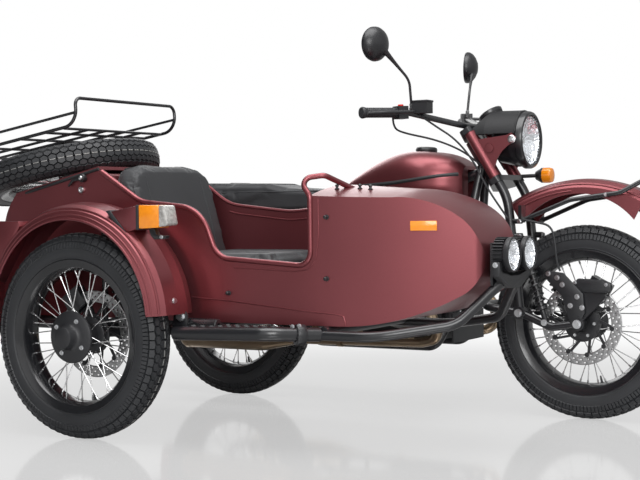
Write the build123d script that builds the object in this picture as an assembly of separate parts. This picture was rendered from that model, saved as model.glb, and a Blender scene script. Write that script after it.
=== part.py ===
"""Motorcycle and sidecar: leading-link fork, flat twin engine, open tub with a spare wheel on its lid."""
import os
from math import cos, radians, sin, sqrt

from build123d import *

# Frame used below: X forward from the rear axle, Y left from the centre plane of the bike, Z up.

# Wheels
wheelbase = 1500.0
axle_height = 345.0
tyre_radius = 345.0
tyre_height = 103.3
tyre_half_width = 53.0
rim_radius = tyre_radius - tyre_height
guard_clearance = 45.0
axle_radius = 12.45
hub_bore_radius = 12.5
disc_radius = 147.5
disc_offset = 63.0
spoke_count = 40
spoke_radius = 2.4
sidecar_track = 1143.0
sidecar_lead = 147.0
touch_gap = 0.3

# Steering and fork
rake = 31.4
fork_offset = 40.0
fork_half_width = 95.0
fork_top = (wheelbase - 414.0, axle_height + 692.0)
fork_bend = (wheelbase - 263.0, axle_height + 445.0)
fork_pivot = (wheelbase - 219.0, axle_height + 33.0)
fork_tube_radius = 17.0
shroud_radius = 21.0
stem_radius = 15.0
stem_play = 0.05

# Bike frame
frame_tube_radius = 16.0
rail_half_width = 125.0
rail_height = 245.0
seat_rail_height = axle_height + tyre_radius + guard_clearance
seat_rail_half_width = 110.0
seat_rail_radius = 13.0
seat_cross_radius = 11.0
swing_pivot_x = 400.0
swing_pivot_z = axle_height + 55.0

# Engine
cylinder_x = 800.0
cylinder_z = 425.0
crankcase_half_width = 105.0
fin_count = 11
fin_pitch = 15.0

# Sidecar tub
tub_y = -725.0
tub_half_width = 260.0
tub_wall = 8.0
tub_tip_x = 1478.0
tub_tail_x = -400.0
tub_bottom = 392.0
crown_radius = 930.0
crown_top = 838.0
lid_tilt = 13.0
lid_front = (92.0, 915.0)
lid_thickness = 12.0
sidecar_rail_y = tub_half_width + 15.0
sidecar_rail_z = 365.0
sidecar_tube_radius = 16.0
fender_centre = (sidecar_lead - 7.0, axle_height + 60.0)
fender_radius = tyre_radius + 42.0

nodes = {}


def node(name, *shapes):
    nodes[name] = [solid for shape in shapes for solid in shape.solids()]


def rod(start, end, radius):
    along = Vector(*end) - Vector(*start)
    return Solid.make_cylinder(radius, along.length, Plane(origin=start, z_dir=along))


def tube(points, radius, bend):
    path = FilletPolyline(*points, radius=bend)
    return sweep(Plane(origin=path @ 0, z_dir=path % 0) * Circle(radius), path=path)


def block(x0, x1, y0, y1, z0, z1):
    return Pos((x0 + x1) / 2, (y0 + y1) / 2, (z0 + z1) / 2) * Box(x1 - x0, y1 - y0, z1 - z0)


def side_prism(outline, y0, y1):
    face = make_face(Polyline(*[(x, y0, z) for x, z in outline], close=True))
    return extrude(face, amount=y1 - y0, dir=(0, 1, 0))


def turned(profile, centre, axis):
    along = Vector(*axis).normalized()
    out = Plane(origin=(0, 0, 0), z_dir=along).x_dir
    points = [Vector(*centre) + out * r + along * t for r, t in profile]
    return revolve(make_face(Polyline(*points, close=True)), axis=Axis(centre, along))


def arched(section, centre, first, last):
    cx, cz = centre
    c, s = cos(radians(first)), sin(radians(first))
    points = [(cx + r * c, y, cz + r * s) for r, y in section]
    face = make_face(Polyline(*points, close=True))
    return revolve(face, axis=Axis((cx, 0, cz), (0, -1, 0)), revolution_arc=last - first)


def pair(shape):
    return [shape, mirror(shape, about=Plane.XZ)]


def joined(shapes):
    return Part() + list(shapes)


def coil_shock(bottom, top, body_radius, spring_radius, coils):
    length = (Vector(*top) - Vector(*bottom)).length
    first, last = 0.24 * length, 0.86 * length
    pitch = (last - first) / coils
    profile = [(0, 0), (body_radius, 10), (body_radius, first)]
    for turn in range(coils):
        base = first + turn * pitch
        profile += [(spring_radius, base + 0.2 * pitch), (spring_radius, base + 0.6 * pitch)]
        profile += [(body_radius, base + 0.8 * pitch), (body_radius, base + pitch)]
    profile += [(spring_radius - 2, last + 1), (spring_radius - 2, length - 8), (0, length)]
    return turned(profile, bottom, Vector(*top) - Vector(*bottom))


def from_front(x, y, z):
    return (wheelbase + x, y, axle_height + z)


# Wheel: tyre, laced rim with its hub, and a brake disc on a bell, all about the Y axis
bead, shoulder = 0.33 * tyre_height, 0.32 * tyre_height
tyre_section = [(rim_radius + touch_gap, -34), (rim_radius + shoulder, -tyre_half_width)]
tyre_section += [(tyre_radius - bead, -tyre_half_width), (tyre_radius, -28)]
tyre_section += [(r, -y) for r, y in reversed(tyre_section)]
tyre = turned(tyre_section, (0, 0, 0), (0, 1, 0))

rim_half = [(-22.7, 20), (-11.7, 42), (16.3, 49), (17.3, 45), (0, 34.5)]
rim_half = [(rim_radius + r, y) for r, y in rim_half]
rim = turned(rim_half + [(r, -y) for r, y in reversed(rim_half)], (0, 0, 0), (0, 1, 0))
hub_half = [(hub_bore_radius, 52), (30, 52), (30, 44), (62, 42), (62, 34), (38, 30)]
hub = turned(hub_half + [(r, -y) for r, y in reversed(hub_half)], (0, 0, 0), (0, 1, 0))
spokes = []
for k in range(spoke_count):
    side = 1 if k % 2 else -1
    lean = 24 if k % 4 < 2 else -24
    at_rim = 360.0 * k / spoke_count
    at_hub = at_rim + lean
    flange = side * (40 if lean > 0 else 36)
    start = (54 * cos(radians(at_hub)), flange, 54 * sin(radians(at_hub)))
    reach = rim_radius - 18.7
    end = (reach * cos(radians(at_rim)), side * 7, reach * sin(radians(at_rim)))
    spokes.append(rod(start, end, spoke_radius))
laced_wheel = joined([rim, hub] + spokes)
disc_profile = [(31, 52), (60, 52), (76, 60), (112, disc_offset), (disc_radius, disc_offset)]
disc_profile += [(disc_radius, 68), (108, 68), (72, 66), (56, 60), (31, 60)]
disc = turned(disc_profile, (0, 0, 0), (0, 1, 0))
disc_seat = turned([(26, 50), (34, 50), (34, 56), (26, 56)], (0, 0, 0), (0, 1, 0))
cap_outer = [(0, -108), (26, -106), (37, -94), (37, -66), (84, -64), (87, -54)]
cap_inner = [(60, -52), (28, -51), (28, -92), (0, -92)]
hub_cap = turned(cap_outer + cap_inner, (0, 0, 0), (0, 1, 0))

front_at = Pos(wheelbase, 0, axle_height)
rear_at = Pos(0, 0, axle_height)
sidecar_at = Pos(sidecar_lead, -sidecar_track, axle_height)
node("front_tyre", front_at * tyre)
node("front_wheel", front_at * laced_wheel)
node("front_brake_disc", front_at * mirror(disc, about=Plane.XZ))
node("rear_tyre", rear_at * tyre)
node("rear_wheel", rear_at * joined([laced_wheel, disc, disc_seat]))
node("sidecar_tyre", sidecar_at * tyre)
node("sidecar_wheel", sidecar_at * joined([laced_wheel, disc, disc_seat, hub_cap]))


def brake_caliper(side, angle):
    low, high = (45, 88) if side > 0 else (-88, -45)
    body = block(100, 172, low, high, -38, 38)
    slot_low = min(side * (disc_offset - 5), side * 73)
    body = body - block(60, 154, slot_low, slot_low + 15, -80, 80)
    return Rot(Y=-angle) * body


# Steering axis and the yokes on its stem
tilt_c, tilt_s = cos(radians(rake)), sin(radians(rake))
steer_up = (-tilt_s, 0, tilt_c)
steer_top = (fork_top[0] - fork_offset * tilt_c, 0, fork_top[1] - fork_offset * tilt_s)


def on_stem(t, forward=0.0, y=0.0):
    x = steer_top[0] - t * tilt_s + forward * tilt_c
    return (x, y, steer_top[2] + t * tilt_c + forward * tilt_s)


def yoke_plate(low, high):
    base = Plane(origin=on_stem(low), x_dir=(tilt_c, 0, tilt_s), z_dir=steer_up)
    wide = fork_half_width + 23
    outline = [(-22, 26), (14, wide), (58, wide), (58, -wide), (14, -wide), (-22, -26)]
    plate = extrude(base * make_face(Polyline(*outline, close=True)), amount=high - low)
    return fillet(plate.edges().filter_by(Axis((0, 0, 0), steer_up)), 14)


# Leading link: one tube bent round behind the tyre, carrying the axle and the caliper
link_right = [from_front(0, -92, 0), from_front(-100, -92, -15), (fork_pivot[0], -92, fork_pivot[1])]
link_right += [from_front(-375, -92, 53)]
link_points = link_right + [(x, -y, z) for x, y, z in reversed(link_right)]
pivot_boss = rod((fork_pivot[0], -113, fork_pivot[1]), (fork_pivot[0], -77, fork_pivot[1]), 23)
axle_boss = rod(from_front(0, -108, 0), from_front(0, -76, 0), 24)
axle = rod(from_front(0, -112, 0), from_front(0, 112, 0), axle_radius)
arm_outline = [(-12, 7), (12, 7), (100, 95), (60, 155), (10, 135)]
caliper_arm = side_prism([(wheelbase + x, axle_height + z) for x, z in arm_outline], -96, -86)
link = joined([
    tube(link_points, 15, [60, 60, 70, 70, 60, 60]), axle, caliper_arm, front_at * brake_caliper(-1, 62),
    *pair(pivot_boss), *pair(axle_boss),
])
node("leading_link", link)

# Fork legs: straight down the steering angle, then nearly upright to the link pivot
leg_points = [(x, -fork_half_width, z) for x, z in (fork_top, fork_bend, fork_pivot)]
leg = joined([
    tube(leg_points, fork_tube_radius, 200),
    rod(from_front(-257, -fork_half_width, 307), from_front(-208, -fork_half_width, 307), 11),
    rod(from_front(-263, -fork_half_width, 360), from_front(-208, -104, 360), 9),
]) - link

# Handlebar on two risers, and both yokes on the stem, with the legs held in them
clamp_x, clamp_z = fork_top[0] - 30, fork_top[1] + 19
bar_right = [(clamp_x - 231, -415, clamp_z + 40), (clamp_x - 135, -255, clamp_z + 44)]
bar_right += [(clamp_x, -85, clamp_z)]
bar_points = bar_right + [(x, -y, z) for x, y, z in reversed(bar_right)]
grip_near, grip_far = Vector(clamp_x - 138, -260, clamp_z + 44), Vector(*bar_right[0])
grip_dir = (grip_far - grip_near).normalized()
grip = rod(tuple(grip_near + grip_dir * 46), tuple(grip_far + grip_dir * 6), 17)
handlebar = joined([tube(bar_points, 11, 55), *pair(grip)])
node("handlebar", handlebar)
stem = rod(on_stem(-225), on_stem(8), stem_radius)
risers = [rod((clamp_x - 4, y, clamp_z - 46), (clamp_x, y, clamp_z), 14) for y in (-38, 38)]
yokes = joined([yoke_plate(-225, -203), yoke_plate(-12, 8), stem] + risers + pair(leg)) - handlebar
yokes = yokes.solids().sort_by(SortBy.VOLUME)[-1]
node("fork", yokes)

shock_ends = [from_front(-120, -fork_half_width, -1), from_front(-211, -fork_half_width, 301)]
front_shock = coil_shock(*shock_ends, 13, 23, 8)
front_shock = front_shock - yokes - link
node("front_shocks", *pair(front_shock.solids().sort_by(SortBy.VOLUME)[-1]))

# Painted shrouds with the lamp ears
lamp_x, lamp_z = fork_top[0] + 214, fork_top[1] - 39
shroud_ends = [on_stem(t, fork_offset, -fork_half_width) for t in (-202, -13)]
shroud = rod(*shroud_ends, shroud_radius)
ear_outline = [(-190, 2), (-60, 16), (-42, 24), (-25, 8), (-27, -8), (-53, -20)]
ear_outline += [(-77, -40), (-97, -66), (-105, -90), (-118, -118)]
ear = side_prism([(lamp_x + x, lamp_z + z) for x, z in ear_outline], -108, -102)
ear_bolt = rod((lamp_x - 40, -112, lamp_z), (lamp_x - 40, -90, lamp_z), 9)
shroud = joined([shroud, ear, ear_bolt]) - yokes
shell_outer = [(0, -150), (45, -146), (80, -120), (96, -60), (96, -34), (103, -30), (103, -12)]
shell_inner = [(90, -10), (90, -40), (60, -110), (0, -130)]
lamp_shell = turned(shell_outer + shell_inner, (lamp_x, 0, lamp_z), (1, 0, 0))
shroud = shroud - lamp_shell
node("fork_shrouds", *pair(shroud.solids().sort_by(SortBy.VOLUME)[-1]))
node("headlamp", lamp_shell)
lens_profile = [(0, -16), (89.5, -16), (89.5, -10), (60, -3), (0, 0)]
node("headlamp_lens", turned(lens_profile, (lamp_x, 0, lamp_z), (1, 0, 0)))

# Leather-like hood over the lamp with the speedometer at its rear
hood_outline = [(-226, 88), (-150, 97), (-36, 97), (-32, 108), (-150, 110), (-230, 100)]
hood_slant = [(-127, 125), (-250, -13), (-330, -13), (-330, 125)]
hood_face = make_face(Polyline(*[(lamp_x + x, 0, lamp_z + z) for x, z in hood_outline], close=True))
lamp_axis = Axis((lamp_x, 0, lamp_z), (1, 0, 0))
hood = revolve(hood_face.rotate(lamp_axis, -78), axis=lamp_axis, revolution_arc=156)
hood = hood - side_prism([(lamp_x + x, lamp_z + z) for x, z in hood_slant], -150, 150)
hood = hood - shroud - mirror(shroud, about=Plane.XZ) - handlebar - yokes
hood = hood.solids().sort_by(SortBy.VOLUME)[-1]
dial_profile = [(0, 0), (30, 0), (44, 14), (44, 34), (40, 38), (0, 38)]
speedometer = turned(dial_profile, (lamp_x - 150, 0, lamp_z + 70), (-0.5, 0, 0.87))
node("lamp_hood", joined([hood, speedometer]))

# Switch housings, levers and the brake reservoir
housing_plane = Plane(origin=grip_near + grip_dir * 24, z_dir=grip_dir)
housing = housing_plane * Box(44, 46, 40)
lever_points = [tuple(grip_near + Vector(8, -14, 2)), tuple(grip_near + Vector(50, -34, 0))]
lever_points += [tuple(grip_near + Vector(-10, -140, -6)), tuple(grip_near + Vector(-52, -196, -10))]
lever = tube(lever_points, 6, [12, 60])
reservoir = Pos(*(grip_near + Vector(53, 22, 16))) * Box(60, 48, 40)
controls = joined([housing, lever]) - handlebar
right_controls = joined([housing, lever, reservoir]) - handlebar
node("hand_controls", right_controls, mirror(controls, about=Plane.XZ))

# Mirrors on bent stems
grip_left = Vector(grip_near.X, -grip_near.Y, grip_near.Z)
mirror_table = [
    (grip_near, (10, 24, 8), (14, -2, 116), (-50, -112, 240)),
    (grip_left, (10, -24, 8), (10, 2, 105), (-26, 112, 212)),
]
mirror_solids = []
for grip_end, *offsets in mirror_table:
    base, bend, head = [tuple(grip_end + Vector(*offset)) for offset in offsets]
    stalk = tube([base, bend, head], 5, 20)
    facing = (-0.966, -0.257 if head[1] > 0 else 0.257, 0.05)
    back = turned([(0, -4), (40, 0), (60, 14), (62, 24), (60, 28), (0, 28)], head, facing)
    one = joined([stalk, back])
    for solid in nodes["hand_controls"] + nodes["handlebar"]:
        one = one - solid
    mirror_solids.append(one.solids().sort_by(SortBy.VOLUME)[-1])
node("mirrors", *mirror_solids)

# High front mudguard, its lower edge scooped, and the hoop that carries it
guard_section = [(410, 72), (478, 70), (494, 62), (506, 40), (509, 0)]
guard_section += [(r, -y) for r, y in reversed(guard_section[:-1])]
guard_inner = [(410, 68), (476, 66), (490, 59), (502, 38), (505, 0)]
guard_inner += [(r, -y) for r, y in reversed(guard_inner[:-1])]
front_guard = arched(guard_section + guard_inner[::-1], (wheelbase, axle_height), 62, 122)
front_guard = front_guard - rod(from_front(-8, -120, 192), from_front(-8, 120, 192), 264)
node("front_mudguard", front_guard)
hoop_right = [from_front(-212, -106, 360), from_front(-30, -92, 434)]
hoop_right += [from_front(150, -86, 457), from_front(258, -74, 513)]
hoop_path = hoop_right + [(x, -y, z) for x, y, z in reversed(hoop_right)]
hoop = tube(hoop_path, 8, [120, 90, 45, 45, 90, 120])
hoop_ties = pair(rod(from_front(100, -71, 451), from_front(100, -90, 451), 6))
hoop_ties += pair(Pos(*from_front(-211, -91, 386)) * Box(12, 38, 62))
hoop = joined([hoop] + hoop_ties) - front_guard - yokes
node("mudguard_hoop", hoop)

# Turn signal on the left of the fork, at the lower yoke
signal_y, signal_z = fork_half_width + 63, lamp_z - 126
signal_arm = rod((lamp_x - 118, fork_half_width + 2, signal_z - 4), (lamp_x - 38, signal_y, signal_z), 7)
cup_profile = [(0, -46), (16, -44), (28, -22), (28, 6), (24, 16), (0, 20)]
signal_cup = turned(cup_profile, (lamp_x - 10, signal_y, signal_z), (1, 0, 0))
signal = joined([signal_arm, signal_cup]) - yokes
for solid in nodes["fork_shrouds"]:
    signal = signal - solid
node("front_signal", signal.solids().sort_by(SortBy.VOLUME)[-1])

# Bike frame: head tube, backbone, cradle tubes and seat rails
head = rod(on_stem(-197), on_stem(-18), 29)
spine_points = [on_stem(-137, -17), (0.6 * wheelbase, 0, 820)]
spine_points += [(0.28 * wheelbase + 140, 0, seat_rail_height + 30), (330, 0, seat_rail_height)]
backbone = tube(spine_points, 18, [150, 200])
down_top, down_low = on_stem(-121, -14, -20), (1010, -rail_half_width, 330)
cradle = tube([
    down_top, down_low, (960, -rail_half_width, rail_height),
    (430, -rail_half_width, rail_height), (352, -142, 420),
    (326, -seat_rail_half_width, seat_rail_height - 4),
], frame_tube_radius, [120, 60, 80, 120])
rail_ends = [(x, -seat_rail_half_width, seat_rail_height) for x in (340, -20)]
seat_rail = rod(*rail_ends, seat_rail_radius)
shock_pin_z = seat_rail_height - 3
shock_pin = rod((75, -seat_rail_half_width, shock_pin_z), (75, -168, shock_pin_z), 9)
pivot_lug = rod((swing_pivot_x, -146, swing_pivot_z), (swing_pivot_x, -122.3, swing_pivot_z), 31)
frame_bits = [head, backbone]
for shape in (cradle, seat_rail, shock_pin, pivot_lug):
    frame_bits += pair(shape)
for x in (330, 0):
    ends = [(x, y, seat_rail_height) for y in (-seat_rail_half_width, seat_rail_half_width)]
    frame_bits.append(rod(*ends, seat_cross_radius))
stem_hole = rod(on_stem(-300), on_stem(60), stem_radius + stem_play)
main_frame = joined(frame_bits) - stem_hole
node("main_frame", main_frame)

# Flat twin: crankcase, finned cylinders, rocker covers and gearbox
sump = block(640, 900, -128, 128, rail_height + frame_tube_radius + touch_gap, 278)
case = block(640, 975, -crankcase_half_width, crankcase_half_width, 270, 540)
case = fillet(case.edges().filter_by(Axis.X), 40)
front_cover = rod((975, 0, 440), (1003, 0, 440), 88)
gearbox = block(425, 640, -88, 88, 290, 510)
gearbox = fillet(gearbox.edges().filter_by(Axis.X), 36)
node("engine", joined([sump, case, front_cover, gearbox]))
barrel = rod((cylinder_x, -crankcase_half_width, cylinder_z), (cylinder_x, -332, cylinder_z), 50)
fins = []
for k in range(fin_count):
    size = 132 if k < 6 else 152
    y = -128 - k * fin_pitch
    plane = Plane(origin=(cylinder_x, y, cylinder_z), x_dir=(1, 0, 0), z_dir=(0, -1, 0))
    fins.append(extrude(plane * RectangleRounded(size, size, 34), amount=5))
cover_plane = Plane(origin=(cylinder_x, -330, cylinder_z), x_dir=(1, 0, 0), z_dir=(0, -1, 0))
cover = extrude(cover_plane * RectangleRounded(138, 112, 40), amount=56)
cover = fillet(cover.faces().sort_by(Axis.Y)[0].edges(), 20)
node("cylinders", *pair(joined([barrel, cover] + fins)))

# Intake: box under the tank's rear with a duct to a throttle body behind each cylinder
duct = tube([(585, -60, 600), (640, -205, 560), (752, -205, 440)], 24, [60])
airbox = fillet(block(430, 600, -72, 72, 530, 690).edges().filter_by(Axis.Z), 25)
intake = joined([airbox, *pair(duct)])
for solid in nodes["cylinders"]:
    intake = intake - solid
node("intake", intake)

# Exhaust: one pipe round the front of each cylinder to a long silencer
pipe_right = [(868, -285, 412), (1010, -285, 405), (1040, -250, 290), (960, -235, 272), (420, -235, 264)]
pipe = tube(pipe_right, 19, [60, 45, 45])
for solid in nodes["cylinders"]:
    pipe = pipe - solid
can_outer = [(0, 20), (18, 20), (20, 0), (48, -130), (50, -160), (50, -500), (44, -512)]
can_mouth = [(20, -512), (20, -470), (0, -470)]
silencer = turned(can_outer + can_mouth, (420, -235, 262), (1, 0, 0))
node("exhaust", *pair(joined([pipe, silencer])))

# Fuel tank: six rounded sections along the backbone, tunnelled below
tank_sections = [
    (562, 58, 802, 862, 24), (660, 96, 768, 916, 60), (790, 136, 752, 962, 88),
    (900, 152, 750, 966, 94), (1000, 130, 760, 942, 80), (1052, 82, 796, 908, 44),
]
tank_faces = []
for x, half, low, high, corner in tank_sections:
    plane = Plane(origin=(x, 0, (low + high) / 2), x_dir=(0, 1, 0), z_dir=(1, 0, 0))
    tank_faces.append(plane * RectangleRounded(2 * half, high - low, corner))
tank = loft(tank_faces)
tunnel_outline = [(500, 700), (1120, 700), (1120, 920.8), (1060, 898.7)]
tunnel_outline += [(900, 839.4), (560, 783.9), (500, 776)]
tunnel = side_prism(tunnel_outline, -30, 30)
filler = turned([(0, -30), (38, -30), (38, 6), (30, 14), (0, 16)], (868, 0, 966), (0.05, 0, 1))
tank = joined([tank - tunnel, filler])
node("fuel_tank", tank)

# Bench seat on the rails and the painted side covers below it
seat_base = seat_rail_height + seat_rail_radius + touch_gap
seat_outline = [(-128, 0), (548, 0), (548, 52), (520, 74), (300, 90), (220, 108), (-110, 114), (-134, 92)]
seat = side_prism([(x, seat_base + z) for x, z in seat_outline], -140, 140)
seat = fillet(seat.edges().filter_by(Axis.Y, reverse=True), 20)
seat = seat - block(290, 600, -26, 26, seat_rail_height - 35, seat_rail_height + 57)
node("saddle", seat - tank)
cover_outline = [(338, -175), (540, -215), (566, -45), (540, -7), (326, -7)]
side_cover = side_prism([(x, seat_rail_height + z) for x, z in cover_outline], -122, -116) - main_frame
node("side_covers", *pair(side_cover.solids().sort_by(SortBy.VOLUME)[-1]))

# Rear end: swing arm, final drive, shocks, mudguard, lamp and number plate bracket
drive_case = turned([(0, -58), (84, -58), (84, -100), (60, -126), (0, -126)],
                    (0, 0, axle_height), (0, 1, 0))
swing_parts = [
    rod((swing_pivot_x, -122, swing_pivot_z), (swing_pivot_x, 122, swing_pivot_z), 22),
    rod((swing_pivot_x, -94, swing_pivot_z), (40, -94, axle_height + 6), 25),
    rod((swing_pivot_x, 94, swing_pivot_z), (0, 94, axle_height), 16),
    rod((0, 76, axle_height), (0, 112, axle_height), 24),
    rod((0, -130, axle_height), (0, 112, axle_height), axle_radius),
    rod((95, -94, axle_height + 13), (95, -168, axle_height + 55), 9),
    rod((95, 94, axle_height + 13), (95, 168, axle_height + 55), 9),
    drive_case, rear_at * brake_caliper(1, 125),
    side_prism([(x, axle_height + z) for x, z in ((-10, 15), (12, 15), (-50, 125), (-90, 95))], 80, 88),
]
swing_arm = joined(swing_parts)
node("swing_arm", swing_arm)
rear_shock = coil_shock((95, -152, axle_height + 47), (76, -152, seat_rail_height - 5), 15, 28, 9)
rear_shock = (rear_shock - swing_arm - main_frame).solids().sort_by(SortBy.VOLUME)[-1]
guard_top = seat_rail_height - seat_cross_radius - touch_gap - axle_height
rear_section = [(guard_top - 60, 82), (guard_top - 26, 80), (guard_top - 8, 56), (guard_top, 0)]
rear_section += [(r, -y) for r, y in reversed(rear_section[:-1])]
rear_inner = [(guard_top - 60, 78), (guard_top - 28, 76), (guard_top - 12, 54), (guard_top - 4, 0)]
rear_inner += [(r, -y) for r, y in reversed(rear_inner[:-1])]
node("rear_mudguard", arched(rear_section + rear_inner[::-1], (0, axle_height), 38, 196))
guard_drum = rod((0, -200, axle_height), (0, 200, axle_height), guard_top + touch_gap)
lamp_rise = 215.0
tail_x = -28.0 - sqrt(guard_top ** 2 - lamp_rise ** 2)
tail_z = axle_height + lamp_rise
tail_lamp = joined([
    rod((tail_x, 0, tail_z), (tail_x - 78, 0, tail_z), 38),
    rod((tail_x + 10, 0, tail_z - 40), (tail_x + 10, 162, tail_z - 40), 7),
    rod((tail_x + 18, 162, tail_z - 40), (tail_x - 48, 162, tail_z - 40), 26),
    block(tail_x - 84, tail_x, -30, 30, tail_z - 90, tail_z - 30),
    block(tail_x - 84, tail_x - 80, -90, 90, tail_z - 165, tail_z - 45),
])
tail_lamp = (tail_lamp - guard_drum).solids().sort_by(SortBy.VOLUME)[-1]
for y in (-73, 73):
    tail_lamp = tail_lamp - rod((tail_x - 90, y, tail_z - 80), (tail_x - 70, y, tail_z - 80), 3.5)
node("tail_lamp", tail_lamp)

# Rider's pegs with the brake pedal and gear lever
peg = joined([rod((520, -130, 330), (520, -232, 330), 11), rod((520, -136, 250), (520, -136, 336), 10)])
pedal = tube([(540, -160, 318), (660, -172, 330), (690, -200, 345)], 7, [30])
pedal = joined([pedal, rod((520, -150, 322), (548, -165, 318), 10)])
foot = joined([peg, pedal]) - main_frame
node("foot_controls", *pair(foot.solids().sort_by(SortBy.VOLUME)[-1]))

# Sidecar tub: a plan outline and a crowned side profile, hollow, with a bulkhead before the trunk


def two_radii(run, rise, turn):
    s, c = sin(radians(turn)), cos(radians(turn))
    det = s * c - (1 - s) * (1 - c)
    return (run * c - rise * (1 - s)) / det, (rise * s - run * (1 - c)) / det


def arc_on(start, heading, radius, turn):
    steps = []
    for part in (0.5, 1.0):
        a0, a1 = radians(heading), radians(heading + turn * part)
        sign = 1 if turn > 0 else -1
        x = start[0] + sign * radius * (sin(a1) - sin(a0))
        z = start[1] + sign * radius * (cos(a0) - cos(a1))
        steps.append((x, z))
    edge = ThreePointArc(*[(x, 0, z) for x, z in (start, *steps)])
    return edge, steps[1]


def side_line(*points):
    return [Line((a[0], 0, a[1]), (b[0], 0, b[1])) for a, b in zip(points, points[1:])]


flank_x, flank_radius = 850.0, 1639.0
tail_top, tail_mid, tail_foot_z = (-289.0, 822.0), (-349.0, 736.0), 560.0
deck_x, deck_z = 1210.0, 820.0
belly_x = 1046.0


def tub_volume(inset):
    half, tip, tail = tub_half_width - inset, tub_tip_x - inset, tub_tail_x + inset
    radius = flank_radius - inset
    drop = radius - sqrt(radius ** 2 - (tip - flank_x) ** 2)
    middle = (flank_x + tip) / 2
    mid_drop = radius - sqrt(radius ** 2 - (middle - flank_x) ** 2)
    plan = [Line((tail, -half), (tail, half)), Line((tip, half - drop), (tip, drop - half))]
    for side in (1, -1):
        plan.append(Line((tail, side * half), (flank_x, side * half)))
        plan.append(ThreePointArc(
            (flank_x, side * half), (middle, side * (half - mid_drop)), (tip, side * (half - drop))))
    body = extrude(Pos(0, 0, 300) * make_face(plan), amount=800)
    upright = body.edges().filter_by(Axis.Z).sort_by(Axis.X)
    body = fillet(upright[:2], 90 - inset)
    body = fillet(body.edges().filter_by(Axis.Z).sort_by(Axis.X)[-2:], 40 - inset)

    low = tub_bottom + inset
    r1, r2 = two_radii(tip - belly_x, 590 - low, 30)
    first, knee = arc_on((belly_x, low), 0, r1, 30)
    second, end = arc_on(knee, 30, r2, 60)
    tail_arc, tail_end = arc_on((tail, 520), -90, 520 - low, 90)
    belly = [first, second, tail_arc] + side_line(tail_end, (belly_x, low))
    belly += side_line(end, (tip, 613), (tail, 613), (tail, 520))
    lower = extrude(make_face(belly), amount=800, dir=(0, 1, 0), both=True)

    top = deck_z - inset
    r1, r2 = two_radii(tip - deck_x, top - 613, 40)
    first, knee = arc_on((deck_x, top), 0, r1, -40)
    second, end = arc_on(knee, -40, r2, -50)
    roof = [first, second] + side_line(end, (tip, 607), (tip - 40, 560), (tail, 560), (tail, 990))
    roof += side_line((tail, 990), (300, 990), (945, crown_top - inset), (deck_x, top))
    axis = Axis((0, 0, crown_top - crown_radius), (1, 0, 0))
    upper = revolve(make_face(roof).rotate(axis, -26), axis=axis, revolution_arc=52)

    top_x, mid_x = tail_top[0] + inset, tail_mid[0] + inset
    slope = ThreePointArc((top_x, 0, tail_top[1]), (mid_x, 0, tail_mid[1]), (tail - 6, 0, tail_foot_z))
    behind = [slope] + side_line((tail - 6, tail_foot_z), (tail - 200, tail_foot_z), (tail - 200, 1100))
    behind += side_line((tail - 200, 1100), (top_x + 60, 1100), (top_x, tail_top[1]))
    tail_cut = extrude(make_face(behind), amount=800, dir=(0, 1, 0), both=True)
    return Pos(0, tub_y, 0) * ((body & (upper + lower)) - tail_cut)


tub_outer = tub_volume(0.0)
tub_inner = tub_volume(tub_wall)
bulkhead_top, bulkhead_low, bulkhead_wall = (75, 1100), (275, 300), 10
ahead_of_bulkhead = [bulkhead_top, bulkhead_low, (1600, 300), (1600, 1100)]
behind_bulkhead = [(x - bulkhead_wall, z) for x, z in (bulkhead_top, bulkhead_low)]
behind_bulkhead += [(-600, 300), (-600, 1100)]
cockpit_side = side_prism(ahead_of_bulkhead, tub_y - 400, tub_y + 400)
cockpit_room = tub_inner & cockpit_side
trunk_room = tub_inner & side_prism(behind_bulkhead, tub_y - 400, tub_y + 400)

lid_plane = Plane(
    origin=(lid_front[0], tub_y, lid_front[1]),
    x_dir=(cos(radians(lid_tilt)), 0, sin(radians(lid_tilt))),
    z_dir=(-sin(radians(lid_tilt)), 0, cos(radians(lid_tilt))))
lid_slab = lid_plane * Pos(-300, 0, -lid_thickness / 2) * Box(600, 700, lid_thickness)
above_lid = lid_plane * Pos(-388, 0, 200 - lid_thickness - 0.5) * Box(800, 900, 400)

right_edge = [(84, 910), (276, 790), (522, 765), (588, 603), (945, 579), (945, 1100)]
left_edge = [(102, 910), (285, 778), (560, 748), (945, 790), (945, 1100)]


def cockpit_cut(edge, bends, y0, y1):
    path = FilletPolyline(*[(x, y0, z) for x, z in edge], radius=bends)
    first, last = edge[0], edge[-1]
    close = Polyline((last[0], y0, last[1]), (first[0], y0, last[1]), (first[0], y0, first[1]))
    return extrude(make_face([*path.edges(), *close.edges()]), amount=y1 - y0, dir=(0, 1, 0))


cut_right = cockpit_cut(right_edge, [150, 130, 75, 45], tub_y - 400, tub_y)
cut_left = cockpit_cut(left_edge, [150, 300, 40], tub_y, tub_y + 400)
tub = tub_outer - cockpit_room - trunk_room - above_lid - cut_right - cut_left
seat_step = block(290, 770, tub_y - 256, tub_y + 256, 396, 478)
tub = tub + seat_step

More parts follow.
